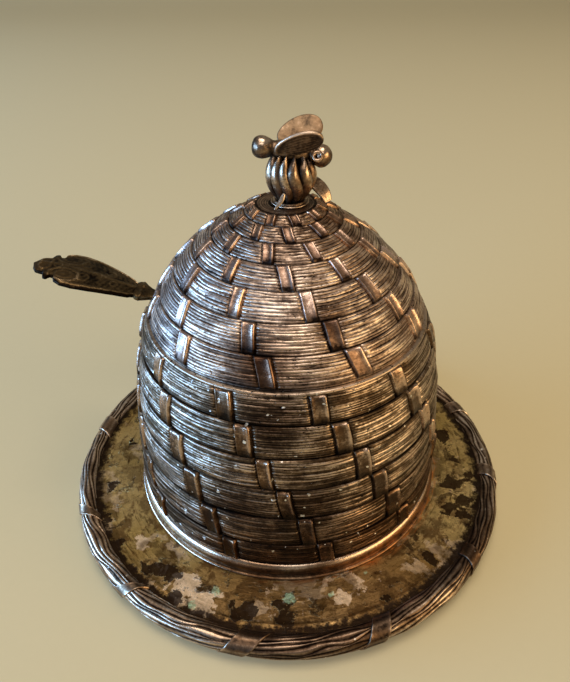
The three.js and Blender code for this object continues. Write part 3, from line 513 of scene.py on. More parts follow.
def aged_silver(
    name, groove, body, crest_colour, rough, metal=0.95, straw=False, specks=0.0, height_darkening=None,
    smudges_and_shade=(), copper_sheen=0.0,
):
    """Tarnished silver on relief: dark in the grooves, worn bright on the crests, with bronze and
    grey clouds, fine scratches and specks of dust. The mesh's crest layer is 0 in a groove, 1 on top,
    and rough is the roughness at either; on some pieces the crest layer also holds painted highlights
    and painted shade. On straw, lines and pits run along the rows by the rise layer, and the strap layer
    makes the straps smoother. The darkening by height is a height in metres, another where it ends, and
    its colour. A smudge is x, y, z and radius in millimetres."""
    s = Shader(name)
    cloud = s.noise(22.0, 4.0, 0.55)
    fine = s.noise(0.9, 5.0, 0.65)
    patch = s.noise(5.0, 6.0, 0.65)
    wear = s.math("ADD", s.layer("crest"), s.ramp(fine, 0.25, 0.75, -0.14, 0.14))
    wear = s.math("ADD", wear, s.ramp(patch, 0.3, 0.7, -0.22, 0.16))
    if straw:
        strap = s.layer("strap")
        wear, lines, pit = straw_wear(s, wear, strap)
    base = s.mix(s.ramp(wear, 0.02, 0.55), groove, body)
    base = s.mix(s.ramp(wear, 0.5, 1.0), base, crest_colour)
    base = s.mix(0.6, base, s.mix(s.ramp(cloud, 0.35, 0.65), BRONZE_TINT, GREY_TINT), "MULTIPLY")
    if straw:
        base = s.mix(strap, base, STRAP_TINT, "MULTIPLY")
    holes = s.ramp(s.noise(0.45, 3.0, 0.5), 0.66, 0.74)
    base = s.mix(s.math("MULTIPLY", holes, 0.7), base, groove)
    base = stained(s, base, patch, height_darkening, smudges_and_shade, copper_sheen)
    dust = s.ramp(s.noise(1.9, 1.0, 0.4), 0.80 - 0.06 * specks, 0.82 - 0.06 * specks)
    base = s.mix(dust, base, DUST)
    gloss = s.math("ADD", s.ramp(wear, 0.0, 0.9, *rough), s.ramp(patch, 0.3, 0.7, 0.05, -0.05))
    relief = s.bump(fine, 0.04, s.bump(patch, 0.10))
    if straw:
        gloss = s.math("SUBTRACT", gloss, s.math("MULTIPLY", strap, 0.09))
        relief = s.bump(lines, 0.06, s.bump(s.math("SUBTRACT", 1.0, pit), 0.08, relief))
    return s.finish(Base_Color=base, Metallic=metal, Roughness=gloss, Normal=relief)


def straw_bundle(azimuth):
    """The bundle's grid and crest. Each strand is a small arch between two wandering edges that wind
    round the bundle. Between two bindings the strands stand higher and the whole bundle swells."""
    between = ((np.degrees(azimuth) - BINDING_TURN) / (360 / BINDINGS)) % 1.0
    swell = BUNDLE_SWELL * np.sin(np.pi * between) ** 0.7
    strand = np.arange(STRANDS * STRAND_LEVELS) / STRAND_LEVELS
    which = strand.astype(int)
    across = (strand - which)[:, None]
    wander = np.stack([ripple(azimuth, 40 + k, 3, 40) for k in range(STRANDS)])
    edges = np.arange(STRANDS)[:, None] + 0.30 * wander
    next_edges = np.vstack([edges[1:], edges[:1] + STRANDS])
    phase = edges[which] + across * (next_edges - edges)[which]
    full = np.stack([1 + 0.4 * ripple(azimuth, 80 + k, 2, 30) for k in range(STRANDS)])[which]
    bulge = STRAND_BULGE * np.sin(np.pi * across) ** 0.8 * np.clip(full, 0.3, 1.6)
    turn = 2 * np.pi * phase / STRANDS + STRAND_TWIST * azimuth
    radius = BUNDLE - STRAND_SINK + swell + bulge * (0.5 + 0.5 * np.sin(np.pi * between) ** 0.5)
    r = np.minimum(BORDER_RADIUS + radius * np.cos(turn), BORDER_REACH)
    z = np.maximum(BORDER_HEIGHT + radius * np.sin(turn), BORDER_CLEAR)
    # Painted highlight: the strands are brighter towards the left, where the window's light falls
    shine = 0.42 + 0.42 * full + 0.25 * facing(azimuth, -75) ** 3
    return wound(r, z, azimuth), np.clip(np.sin(np.pi * across) ** 1.5 * shine, 0, 1)


# Round patches at the front and front right paint the border darker there, as a dark reflection
border_silver = aged_silver(
    "border_silver", (0.016, 0.009, 0.005), (0.25, 0.178, 0.120), (0.80, 0.67, 0.54), rough=(0.54, 0.30),
    specks=0.8, smudges_and_shade=[(6, -76, 6, 46), (60, -40, 6, 30)],
)
bundle_grid, bundle_crest = straw_bundle(full_turn(648))
bundle = surface("straw_bundle", bundle_grid, ring=True, crest=bundle_crest)
dressed(bundle, border_silver, "base", "border_silver", "straw_border")

# Bindings
# Twelve flat ribbons cast over the bundle, each slanting inwards to the right. Some narrow on the inside.
# Each is the azimuths of its left and right edges, first at the outside and then at the inside.
RIBBONS = [
    (-15.5, -9.0, -11.0, -3.0), (16.0, 22.0, 20.0, 25.5), (48.6, 53.4, 50.4, 55.5),
    (77.5, 82.5, 80.5, 85.5), (104.5, 110.5, 107.5, 112.5), (136.0, 142.0, 139.0, 145.0),
    (167.0, 173.0, 170.5, 175.0), (197.0, 203.0, 200.0, 206.0), (227.0, 233.0, 231.0, 235.0),
    (253.0, 259.0, 255.0, 263.0), (285.5, 290.5, 293.0, 296.0), (314.0, 319.0, 321.2, 322.6),
]
RIBBON_PROUD = 0.45
RIBBON_FROM = -62.0
RIBBON_TO = 163.0
RIBBON_ROWS = 60
RIBBON_COLUMNS = 25


def across_face(points):
    """Shares of a half width from 1 to -1, closer together towards the edges, as a cosine gives them."""
    return np.cos(np.linspace(0, np.pi, points))


def ribbon(name, edges):
    """A closed band over the bundle. Its rows run up over the bundle and down inside, and its columns go
    across the face from left to right and back underneath; the rims stand a little above the face."""
    degrees = np.linspace(RIBBON_FROM, RIBBON_TO, RIBBON_ROWS)
    inwards = (degrees + 10) / 160
    left = np.radians(edges[0] + (edges[2] - edges[0]) * inwards)[:, None]
    right = np.radians(edges[1] + (edges[3] - edges[1]) * inwards)[:, None]
    share = across_face(RIBBON_COLUMNS)
    face = RIBBON_PROUD + 0.20 * np.abs(share) ** 4 - 0.9 * np.abs(share) ** 40
    face = face + 0.05 * np.sin(np.radians(degrees * 5))[:, None]
    hidden = np.full((RIBBON_ROWS, RIBBON_COLUMNS - 2), -0.6)
    shares = np.concatenate([share, share[-2:0:-1]])
    azimuth = (left + right) / 2 - 0.44 * (right - left) * shares
    radius = BUNDLE + np.concatenate([face, hidden], axis=1)
    turn = np.radians(degrees)[:, None]
    r = np.minimum(BORDER_RADIUS + radius * np.cos(turn), BORDER_REACH)
    grid = wound(r, BORDER_HEIGHT + radius * np.sin(turn), azimuth)
    dents = 0.14 * np.sin(np.radians(degrees * 9))[:, None]
    crest = np.clip(0.46 + dents + 0.6 * np.abs(share) ** 6 - 1.4 * np.abs(share) ** 50, 0, 1)
    crest = np.concatenate([crest, 0 * hidden], axis=1)
    return surface(name, grid, poles=(grid[0].mean(0), grid[-1].mean(0)), crest=crest)


for number, edges in enumerate(RIBBONS, start=1):
    dressed(ribbon(f"ribbon_{number}", edges), border_silver, "base", "border_silver", "straw_border")

# Foot ring
# A half-round bead with a cove below it, soldered round the foot of the hive. Its brightness is
# painted: a highlight along the bead's top that grows towards the front left.
RING_COLUMNS = 320
# Painted highlight by height: bright along the bead's top, with a dark cove below
RING_HIGHLIGHT = [(7.5, 0.15), (8.0, 0.45), (8.4, 0.0), (10.8, 0.10), (11.6, 0.55), (12.4, 0.95)]

# The foot ring's coppery share sits at the right only: worn plating with a painted warm reflection
bright_silver = aged_silver(
    "bright_silver", (0.040, 0.022, 0.011), (0.26, 0.175, 0.105), (0.84, 0.70, 0.56), rough=(0.42, 0.26),
    # These round patches are tarnish at the front of the ring
    smudges_and_shade=[(-8, -52, 10, 14), (-19, -48, 10, 9), (10, -51, 10, 9)], copper_sheen=0.55,
)
ring_outside = rounded([
    (48.4, 7.5), (53.2, 7.5), (53.4, 7.8), (53.0, 8.2), (52.0, 8.3), (52.7, 9.2), (52.9, 10.6),
    (52.6, 12.0), (51.9, 13.0), (51.1, 13.0), (50.9, 9.9), (48.4, 9.7), (48.4, 7.5),
])[:-1]
ring_painted_light = np.interp(ring_outside[:, 1:], *np.array(RING_HIGHLIGHT).T)
# Painted highlight towards the front left, where the window's light falls
ring_painted_light = np.clip(ring_painted_light + 0.6 * facing(full_turn(RING_COLUMNS), -60) ** 5, 0, 1)
foot_ring = surface("foot_bead", turned(ring_outside, RING_COLUMNS), ring=True, crest=ring_painted_light)
dressed(foot_ring, bright_silver, "base", "bright_silver", "foot_ring")

# Hive body
# A cast and chased wall that copies coiled straw: six rows of straws, each row bound by eleven flat
# straps that stand a step to the left of those below.
SEAM = 74.0
SEAM_RADIUS = 42.3
BODY_OUTLINE = [(51.0, 7.5), (51.0, 30.7), (49.43, 56.17), (SEAM_RADIUS, SEAM)]
BODY_WALL = 1.6
BODY_CLEAR_BELOW = 2.6
BODY_CLEAR_ABOVE = 1.1
# Below this height the wall stands inside the foot ring and is no wider than this radius
RING_TOP = 13.3
RING_BORE = 50.6
FOOT_LOW = 10.1
BODY_ROWS = np.array([0, 0.179, 0.359, 0.532, 0.698, 0.86, 1])
BODY_STRAWS = [12] * 6
BODY_SWELLS = [0.68] * 6
BODY_STRAPS = 11
BODY_STRAP_TURN = 13.0
BODY_STRAP_STEP = 5.9
BODY_STRAP_WIDTHS = [0.90] * 6
STRAP_RAISE = 0.60
STRAP_LEAN = 1.6
STRAP_ZONE = 6.5
STRAW_STEPS = np.array([0.0, 0.2, 0.8])
# A strap's section from left to right: how far to the side in millimetres, the height as a share, and
# whether it covers the straws
STRAP_SECTION = np.array([
    (-3.50, 0.00, 0.0), (-3.05, -0.50, 0.1), (-2.70, -1.30, 0.8), (-2.46, -0.60, 1.0),
    (-2.34, 0.60, 1.0), (-2.15, 0.92, 1.0), (-1.85, 0.72, 1.0), (-1.10, 0.52, 1.0),
    (0.00, 0.55, 1.0), (0.95, 0.75, 1.0), (1.45, 1.15, 1.0), (1.85, 1.45, 1.0),
    (2.20, 1.25, 1.0), (2.42, 0.20, 1.0), (2.68, -0.85, 0.7), (3.10, 0.00, 0.0),
])


def bent(handles, samples=3000):
    """A cubic curve through four (radius, height) handles. Returns a function that gives the point and
    the outward normal at each share of the curve's length, and that length."""
    t = np.linspace(0, 1, samples)[:, None]
    p = np.array(handles, float)
    line = (1 - t) ** 3 * p[0] + 3 * t * (1 - t) ** 2 * p[1] + 3 * t * t * (1 - t) * p[2] + t ** 3 * p[3]
    step = np.diff(line, axis=0)
    length = np.concatenate([[0], np.cumsum(np.hypot(*step.T))])
    heading = np.gradient(line, axis=0)
    heading /= np.linalg.norm(heading, axis=1)[:, None]

    def at(share):
        s = share * length[-1]
        r, z, dr, dz = (np.interp(s, length, v) for v in (*line.T, *heading.T))
        return r, z, dz, -dr

    return at, length[-1]


def bump_at(distance, width):
    """A smooth ridge whose height is 1 where the distance is 0."""
    return np.exp(-((distance / width) ** 2))


def stacked(*parts):
    """Grids on top of each other. A part with one column holds one number for each row, all round."""
    columns = max(part.shape[1] for part in parts)
    return np.vstack([np.broadcast_to(part, (len(part), columns)) for part in parts])


class Columns:
    """The columns of a wall of bound straw. A strap takes as many as its section has points, and the gap
    up to the next strap takes a given number more. Home is the azimuth of a column's strap, with the
    first strap at 0; past is how far across the gap a column lies; near is 1 on a strap."""

    def __init__(self, straps, gap_columns):
        side, height, cover = STRAP_SECTION.T
        self.each = len(side) + gap_columns
        column = np.arange(straps * self.each)
        own = column % self.each
        point = np.minimum(own, len(side) - 1)
        self.in_strap = own < len(side)
        self.past = (own - len(side) + 1) / (gap_columns + 1)
        self.pitch = 2 * np.pi / straps
        self.home = (column // self.each) * self.pitch
        self.steady = self.home + own / self.each * self.pitch
        self.side = side[point]
        self.height = np.where(self.in_strap, height[point], 0)
        self.cover = np.where(self.in_strap, cover[point], 0)
        fading = np.clip(1 - np.minimum(self.past, 1 - self.past) * 5, 0, 1) ** 2
        self.near = np.where(self.in_strap, 1.0, fading)


def straw_edges(c, count, seed):
    """Where the edges between a row's straws lie in each column, counted in straws: each wanders slowly
    and quivers a little, less so beside a strap."""
    drift = np.stack([ripple(c.steady, seed + k, 2, 16) for k in range(1, count)])
    quiver = np.stack([ripple(c.steady, seed + 5000 + k, 24, 70) for k in range(1, count)])
    edges = np.zeros((count + 1, len(c.steady)))
    edges[1:-1] = np.arange(1, count)[:, None] + (0.10 * drift + 0.025 * quiver) * (1 - 0.6 * c.near)
    edges[-1] = count
    return edges


def straw_relief(c, count, seed, which, past_edge):
    """How full each straw is, and how deep the groove is at its edge. Both change along the row, and the
    row's own two edges are always deep."""
    full = np.stack([ripple(c.steady, seed + 1000 + k, 3, 24) for k in range(count)])[which]
    depth = np.stack([ripple(c.steady, seed + 3000 + k, 2, 26) for k in range(count + 1)])
    depth = np.clip(0.80 + 0.28 * depth, 0.2, 1.1)
    depth[0] = depth[-1] = 1
    at_edge = (past_edge == 0) | (past_edge == 1)
    return full, np.where(at_edge, depth[which + (past_edge[:, 0] == 1)], 0)


def pillow(t, swell, tuck):
    """The bulge of a row from its foot to its top: it falls away below and, less, above, and it is
    tucked in at both edges."""
    below = np.clip((0.68 - t) / 0.68, 0, 1) ** 2.4
    above = 0.6 * np.clip((t - 0.68) / 0.32, 0, 1) ** 2.6
    return swell * (1 - below - above) - 0.25 * tuck * np.clip(1 - np.minimum(t, 1 - t) / 0.03, 0, 1)


def strap_azimuths(c, row, r, t, turn, width, seed):
    """The columns' azimuths at a radius and a share of the row's height, and how narrow the straps are.
    Each strap has a width and a lean of its own, and the gap's columns lie evenly between two straps."""
    left, right = STRAP_SECTION[0, 0], STRAP_SECTION[-1, 0]
    own_width = 1 + 0.08 * ripple(c.home + row, seed + 66, 1, 9)
    next_width = np.roll(own_width, -c.each)
    lean = STRAP_LEAN * (1 + 0.3 * ripple(c.home + row, seed + 55, 1, 9))
    tight = np.minimum(width, 0.62 * c.pitch * r / STRAP_ZONE)
    in_gap = right * own_width * tight / r
    in_gap = in_gap + c.past * (c.pitch + (left * next_width - right * own_width) * tight / r)
    azimuth = turn + c.home + np.where(c.in_strap, c.side * own_width * tight / r, in_gap)
    slant = (0.5 - t) * lean + 0.12 * np.sin(5 * t + 3 * c.home + row)
    return azimuth + slant * tight / r, tight


def coil_crest(c, row, seed, t, azimuth, full, dent, lie, shade):
    """How bright each point is. Full straws are bright and their grooves dark, as wear and tarnish; the
    foot of a row is darker as painted shade. A strap is brighter at the pot's sides and near its top as
    painted highlights, and on its raised rim as wear with a painted highlight; the lines beside it are
    painted shade."""
    # Painted shade: each row darker at its foot and at its very top edge
    top_light = 1 - shade * (1 - np.clip(t / 0.18, 0, 1) * np.clip((1 - t) / 0.03, 0, 1))
    straw = np.clip(0.76 + 0.14 * full, 0.4, 1) * (1 - 0.95 * np.minimum(dent, 1)) * top_light
    # Painted highlights: a strap's face brighter at the pot's sides and near its top, and on its raised rim
    face = 0.54 + 0.30 * np.abs(np.sin(azimuth)) ** 1.5 + 0.24 * bump_at(t - 0.94, 0.05)
    face = face + 0.40 * np.clip(c.height - 0.8, 0, 0.6) / 0.6
    face = face + 0.10 * ripple(c.home + row, seed + 77, 1, 9)
    # Painted shade: a strap darker towards its lower end
    strap = c.cover * lie * face * np.clip(t / 0.35, 0.3, 1)
    # Painted shade: the cracks beside a strap are dark
    return np.clip(straw * (1 - c.cover) + strap, 0, 1) * np.where(c.height < -0.8, 0.15, 1)


def coil(at, shares, straws, straps, gap_columns, first, step, seed, swells, widths, shade, arch=None):
    """Rows of straw bound by straps, on a curve given by bent. Up a row, each straw is a small arch between
    two wandering edges, on the pillow of its row. Across it, each strap lays its section over the straws.
    An arch lifts the lowest row's foot. Returns radius, height, azimuth, crest, strap and share of the
    curve at each point of the grid."""
    c = Columns(straps, gap_columns)
    turn = math.radians(first)
    rows = []
    for row, count in enumerate(straws):
        low, high = shares[row], shares[row + 1]
        foot_radius = at(np.array(low))[0]
        if row:
            turn -= step / foot_radius
        row_seed = seed + 97 * row
        edges = straw_edges(c, count, row_seed)
        level = np.append((np.arange(count)[:, None] + STRAW_STEPS).ravel(), count)
        which = np.minimum(level.astype(int), count - 1)
        past_edge = (level - which)[:, None]
        t = (edges[which] + past_edge * (edges[which + 1] - edges[which])) / count
        full, dent = straw_relief(c, count, row_seed, which, past_edge)
        lie = np.clip(np.minimum(t, 1 - t) / 0.06, 0, 1) ** 0.5
        straw = (0.06 * full - 0.38 * dent) * (1 - c.cover)
        strap = STRAP_RAISE * c.height * (1 + 0.16 * ripple(c.home + row, seed + 5, 1, 9))
        swell = 0.30 + 0.16 * (1 - c.near) + 0.10 * ripple(c.steady, seed + 31 * row, 2, 16)
        out = pillow(t, swells[row], swells[row] / 0.85 if row else 0.8) + straw + (strap + swell) * lie
        start = 0 * c.steady
        if arch and row == 0:
            foot, _ = strap_azimuths(c, row, foot_radius, 0.0, turn, widths[row], seed)
            start = arch(foot)
        share = low + (start + t * (1 - start)) * (high - low)
        r, z, out_r, out_z = at(share)
        azimuth, tight = strap_azimuths(c, row, r, t, turn, widths[row], seed)
        crest = coil_crest(c, row, seed, t, azimuth, full, dent, lie, shade)
        out = out * tight ** 0.5
        rows.append((r + out_r * out, z + out_z * out, azimuth, crest, c.cover * lie, share))
    return [np.vstack(layer) for layer in zip(*rows)]


def hive_wall():
    """The body's closed wall: coiled straw outside, a rolled mouth, and a smooth wall down inside."""
    at, length = bent(BODY_OUTLINE)
    low, high = BODY_CLEAR_BELOW / length, 1 - BODY_CLEAR_ABOVE / length
    r, z, azimuth, crest, strap, share = coil(
        at, low + (high - low) * BODY_ROWS, BODY_STRAWS, BODY_STRAPS, 20, BODY_STRAP_TURN,
        BODY_STRAP_STEP, seed=11, swells=BODY_SWELLS, widths=BODY_STRAP_WIDTHS, shade=0.62,
    )
    r = np.where(z < RING_TOP, np.minimum(r, RING_BORE), r)
    mouth = rounded([
        (42.4, 72.75), (43.5, 72.95), (43.4, 73.8), (41.6, 73.9), (40.7, 73.7), (40.7, 72.0),
    ], 1)
    wall_r, wall_z, out_r, out_z = at(np.linspace(0.95, 0.06, 14))
    wall = np.stack([wall_r - BODY_WALL * out_r, wall_z - BODY_WALL * out_z], -1)
    inside = np.vstack([mouth, wall, [(49.0, FOOT_LOW), (RING_BORE, FOOT_LOW)]])
    back = np.linspace(0, 1, len(inside))[:, None] * (azimuth[0] - azimuth[-1])
    # Painted highlight: the rolled mouth's lip is set to full crest; the wall inside is left dark
    shine = np.where(np.arange(len(inside)) < len(mouth), 1.0, 0.1)[:, None]
    grid = wound(
        stacked(r, inside[:, :1]), stacked(z, inside[:, 1:]), np.vstack([azimuth, azimuth[-1] + back]),
    )
    rise = length * np.vstack([share, np.repeat(share[-1:], len(inside), axis=0)])
    return surface(
        "hive_wall", grid, ring=True, crest=stacked(crest, shine), strap=stacked(strap, 0 * shine),
        rise=rise,
    )


body_silver = aged_silver(
    "body_silver", (0.007, 0.004, 0.002), (0.095, 0.064, 0.038), (0.55, 0.45, 0.36), rough=(0.52, 0.31),
    # Painted shade: the body darkens towards its foot, as a dark reflection of the plate
    straw=True, specks=1.0, height_darkening=(0.008, 0.056, (0.33, 0.21, 0.12)),
    # Round patches of painted shade across the front, where the pot reflects the dark room
    smudges_and_shade=[(-4, -45, 67, 15), (-14, -47, 36, 12), (6, -49, 38, 14), (2, -49, 10, 26)],
)
dressed(hive_wall(), body_silver, "base", "body_silver", "hive_body")

# Ledge
# A flat silver ring soldered inside the hive, which steadies the liner under its lip.
LEDGE_BORE = 38.9
LEDGE_LOW = 66.4
LEDGE_TOP = 68.3

ledge_outside = rounded([
    (LEDGE_BORE, LEDGE_LOW), (42.1, LEDGE_LOW), (41.3, LEDGE_TOP), (LEDGE_BORE, LEDGE_TOP),
    (LEDGE_BORE, LEDGE_LOW),
])[:-1]
ledge = surface("liner_seat", turned(ledge_outside, 160), ring=True, crest=0.3)
dressed(ledge, bright_silver, "base", "bright_silver", "liner_ledge")

# Liner
# A pressed glass beaker with a rolled lip. It stands in the plate's well and lifts out for washing.
LINER_FOOT = 1.5
LINER_FLOOR = 3.6
LINER_RADIUS = 38.5
LINER_BORE = 36.9
LIP_RADIUS = 40.3


def liner_glass():
    """Clear glass with a faint green tint and small flow marks."""
    s = Shader("liner_glass")
    flow = s.noise(16.0, 2.0, 0.4, place=s.stretched((1.0, 1.0, 0.35)))
    return s.finish(
        Base_Color=(0.93, 0.97, 0.95),
        Transmission_Weight=1.0,
        IOR=1.5,
        Roughness=s.ramp(s.noise(5.0, 5.0, 0.6), 0.3, 0.7, 0.02, 0.07),
        Normal=s.bump(flow, 0.15),
    )


liner_outside = rounded([
    (0.5, LINER_FOOT), (36.5, LINER_FOOT), (38.3, 2.2), (LINER_RADIUS, 4.5), (LINER_RADIUS, 68.2),
    (LINER_RADIUS, 68.7), (39.9, 68.7), (LIP_RADIUS, 69.6), (39.8, 70.6), (37.6, 70.6),
    (LINER_BORE, 69.4), (LINER_BORE, 6.2), (34.5, 3.7), (0.5, LINER_FLOOR),
])
liner = surface(
    "glass_beaker", turned(liner_outside, 200), poles=((0, 0, LINER_FOOT), (0, 0, LINER_FLOOR)),
)
dressed(liner, liner_glass(), "liner", "liner_glass", "glass_liner")

# Spoon
# One casting in dark, unpolished silver: a deep oval bowl, a flat stem that bends over the rim, a
# scrolled collar, and a broad leaf with rolled edges for the hand.
SPOON_TURN = math.radians(-93)
SPOON_OUT = np.array([math.sin(SPOON_TURN), -math.cos(SPOON_TURN), 0.0])
SPOON_SIDE = np.array([math.cos(SPOON_TURN), math.sin(SPOON_TURN), 0.0])
UP = np.array([0.0, 0.0, 1.0])
BOWL_TILT = math.radians(65)
BOWL_TOP = (15.8, 29.6)
BOWL_HALF_LENGTH = 13.9
BOWL_HALF_WIDTH = 9.4
BOWL_DEPTH = 4.9
BOWL_WALL = 1.0
STEM_LINE = [
    (15.2, 28.6), (25.4, 50.4), (33.7, 68.1), (35.9, 72.2), (40.7, 75.6), (44.0, 76.9), (47.3, 78.0),
]
# The stem's half width and half thickness at distances from the pot's axis
STEM_HALF = [(15, 2.1), (40, 2.1), (42.5, 2.5), (44.6, 4.0), (45.6, 4.7), (46.6, 4.5), (47.3, 3.6)]
STEM_THICK = [(15, 1.0), (42, 1.0), (45.4, 1.25), (47.3, 1.1)]
COLLAR_REACH = 45.2
LEAF_START = (46.9, 77.9)
LEAF_LENGTH = 31.0
LEAF_SLOPE = math.radians(26)
LEAF_DROOP = 6.3
LEAF_HALF_WIDTH = 9.2
LEAF_THICK = 0.80
# Half width as a share, at shares of the length: it swells, then is notched into a lobed tip
LEAF_OUTLINE = [
    (0.00, 0.36), (0.03, 0.42), (0.05, 0.50), (0.12, 0.60), (0.25, 0.76), (0.40, 0.91), (0.55, 1.00),
    (0.66, 0.97), (0.73, 0.82), (0.755, 0.62), (0.785, 0.60), (0.815, 0.76), (0.845, 0.72),
    (0.865, 0.50), (0.90, 0.47), (0.95, 0.42), (0.985, 0.26), (1.00, 0.08),
]
# Along the leaf, to the side and radius
LEAF_PITS = [(12.5, 2.4, 0.8), (9.2, -2.2, 0.7)]
LEAF_CURLS = [
    (15.2, 3.6, 1.7), (15.6, -3.0, 1.5), (11.6, 1.0, 1.3), (8.0, -1.8, 1.4), (6.4, 2.4, 1.1),
    (23.4, 0.2, 1.2),
]


def roundness(share):
    """The height of a half circle at a share of its half width."""
    return np.sqrt(np.clip(1 - share ** 2, 0, 1))


def plank(path, half, over, under, side):
    """A closed strip along a path. At each step a ring goes over the top, from +half to -half across,
    and back underneath. Over and under are heights along the strip's normal, from side to side."""
    along = np.gradient(path, axis=0)
    along /= np.linalg.norm(along, axis=1)[:, None]
    across = side - along * (along @ side)[:, None]
    across /= np.linalg.norm(across, axis=1)[:, None]
    normal = np.cross(along, across)
    share = across_face(over.shape[1])
    back = slice(-2, 0, -1)
    shares = np.concatenate([share, share[back]])
    heights = np.concatenate([over, under[:, back]], axis=1)
    width = np.asarray(half)[:, None] * shares
    return path[:, None] + width[..., None] * across[:, None] + heights[..., None] * normal[:, None]


def smooth_line(points, steps):
    """A line through chosen points, eased with a cubic through each pair and its neighbours."""
    p = np.array(points, float)
    p = np.vstack([2 * p[0] - p[1], p, 2 * p[-1] - p[-2]])
    t = np.linspace(0, len(points) - 1 - 1e-9, steps)
    k = t.astype(int)
    u = (t - k)[:, None]
    a, b, c, d = p[k], p[k + 1], p[k + 2], p[k + 3]
    square = 2 * a - 5 * b + 4 * c - d
    cube = 3 * b - a - 3 * c + d
    return 0.5 * (2 * b + (c - a) * u + square * u ** 2 + cube * u ** 3)


def in_spoon(line):
    """Points given as (distance out from the pot's axis, height), set in the spoon's upright plane."""
    line = np.asarray(line, float)
    return line[:, :1] * SPOON_OUT + line[:, 1:] * UP


def spoon_bowl():
    """A deep bowl down a tilted line from the stem. Its half width follows an ellipse, and its hollow
    and its shell are round across, the hollow a wall's thickness shallower."""
    t = np.linspace(-0.995, 0.995, 70)[:, None]
    down = np.array([math.cos(BOWL_TILT), math.sin(BOWL_TILT)])
    path = in_spoon(np.array(BOWL_TOP) + (t - 1) * BOWL_HALF_LENGTH * down)
    oval = roundness(t)
    share = across_face(41)
    hollow = -(BOWL_DEPTH - BOWL_WALL) * oval * roundness(share) ** 1.2
    shell = -BOWL_DEPTH * oval * roundness(share)
    grid = plank(path, BOWL_HALF_WIDTH * oval[:, 0], hollow, shell, SPOON_SIDE)
    return surface("bowl", grid, poles=(path[0], path[-1]), crest=0.45)


def spoon_stem():
    """A flat bar with round edges along the stem's line. It widens at the end into the collar, which
    has a raised ridge across each half."""
    line = smooth_line(STEM_LINE, 130)
    reach = line[:, :1]
    share = across_face(31)
    edge = roundness(share) ** 0.45
    thick = np.interp(reach, *np.array(STEM_THICK).T) * edge
    ridge = 0.45 * bump_at(reach - COLLAR_REACH, 0.6) * (np.abs(share) > 0.3) * edge
    path = in_spoon(line)
    half = np.interp(reach[:, 0], *np.array(STEM_HALF).T)
    grid = plank(path, half, thick + ridge, -thick, SPOON_SIDE)
    return surface("stem", grid, poles=(path[0], path[-1]), crest=0.35)


def leaf_relief(u, share, along, side):
    """The leaf's chased face in millimetres: a rolled rim, a wavy midrib, two volutes at the notch, fine
    veins, two curls at the tip, two pits and six small curls. A curl is a ridge at a distance from its
    middle. All of it fades at the leaf's edge."""
    rim = bump_at(np.abs(share) - 0.88, 0.07) * np.where(share < 0, 0.40, 0.22) * (u < 0.74)
    rib = bump_at(side - 0.5 * np.sin(u * 5), 0.45) * 0.16 * (1 - u) ** 0.4
    lobe = np.hypot((along - 20.6) / 1.45, np.abs(side) - 4.3)
    volute = 0.20 * bump_at(lobe - 3.0, 0.34) + 0.14 * bump_at(lobe - 1.7, 0.36) + 0.12 * bump_at(lobe, 0.7)
    volute = volute * np.where(side > 0, 1.0, 0.55)
    veins = 0.045 * np.sin(along * 4.3 - np.abs(side) * 1.8) * bump_at(np.abs(share) - 0.42, 0.34)
    tip_curl = 0.16 * bump_at(np.hypot(along - 27.2, np.abs(side) - 1.2) - 1.7, 0.4)
    relief = rim + rib + volute + veins * (along < 16.5) + tip_curl
    for at_along, at_side, size in LEAF_PITS:
        relief = relief - 0.28 * bump_at(np.hypot(along - at_along, side - at_side), size)
    for at_along, at_side, size in LEAF_CURLS:
        away = np.hypot(along - at_along, side - at_side)
        relief = relief + 0.12 * bump_at(away - size, 0.24) * (np.abs(share) < 0.9)
    return relief * roundness(share) ** 0.3


def spoon_leaf():
    """A crowned plate with round edges along a line that rises and droops. Its half width follows the
    outline, and its upper face has the chased relief."""
    u = (1 - (1 - np.linspace(0, 1, 190)) ** 1.15)[:, None]
    along = u * LEAF_LENGTH
    rise = along * math.tan(LEAF_SLOPE) - LEAF_DROOP * u ** 2
    path = in_spoon(np.hstack([LEAF_START[0] + along * 0.985, LEAF_START[1] + rise]))
    half = LEAF_HALF_WIDTH * np.interp(u[:, 0], *np.array(LEAF_OUTLINE).T)
    share = across_face(73)
    relief = leaf_relief(u, share, along, share * half[:, None])
    thick = LEAF_THICK * roundness(share) ** 0.35 * np.clip((1 - u) * 14, 0.2, 1) ** 0.5
    crown = -0.5 * share ** 2
    grid = plank(path, half, thick + crown + relief, crown - thick, SPOON_SIDE)
    shine = np.clip(0.30 + 1.9 * relief - 1.5 * np.abs(share) ** 30, 0, 1)
    crest = np.concatenate([shine, 0 * shine[:, 1:-1]], axis=1)
    return surface("leaf", grid, poles=(path[0], path[-1]), crest=crest)


spoon_dark = aged_silver(
    "spoon_dark", (0.006, 0.003, 0.001), (0.130, 0.088, 0.040), (0.62, 0.47, 0.30), rough=(0.46, 0.30),
)
dressed(spoon_bowl(), spoon_dark, "spoon", "spoon_dark", "spoon_bowl")
dressed(spoon_stem(), spoon_dark, "spoon", "spoon_dark", "spoon_stem")
dressed(spoon_leaf(), spoon_dark, "spoon", "spoon_dark", "spoon_leaf")

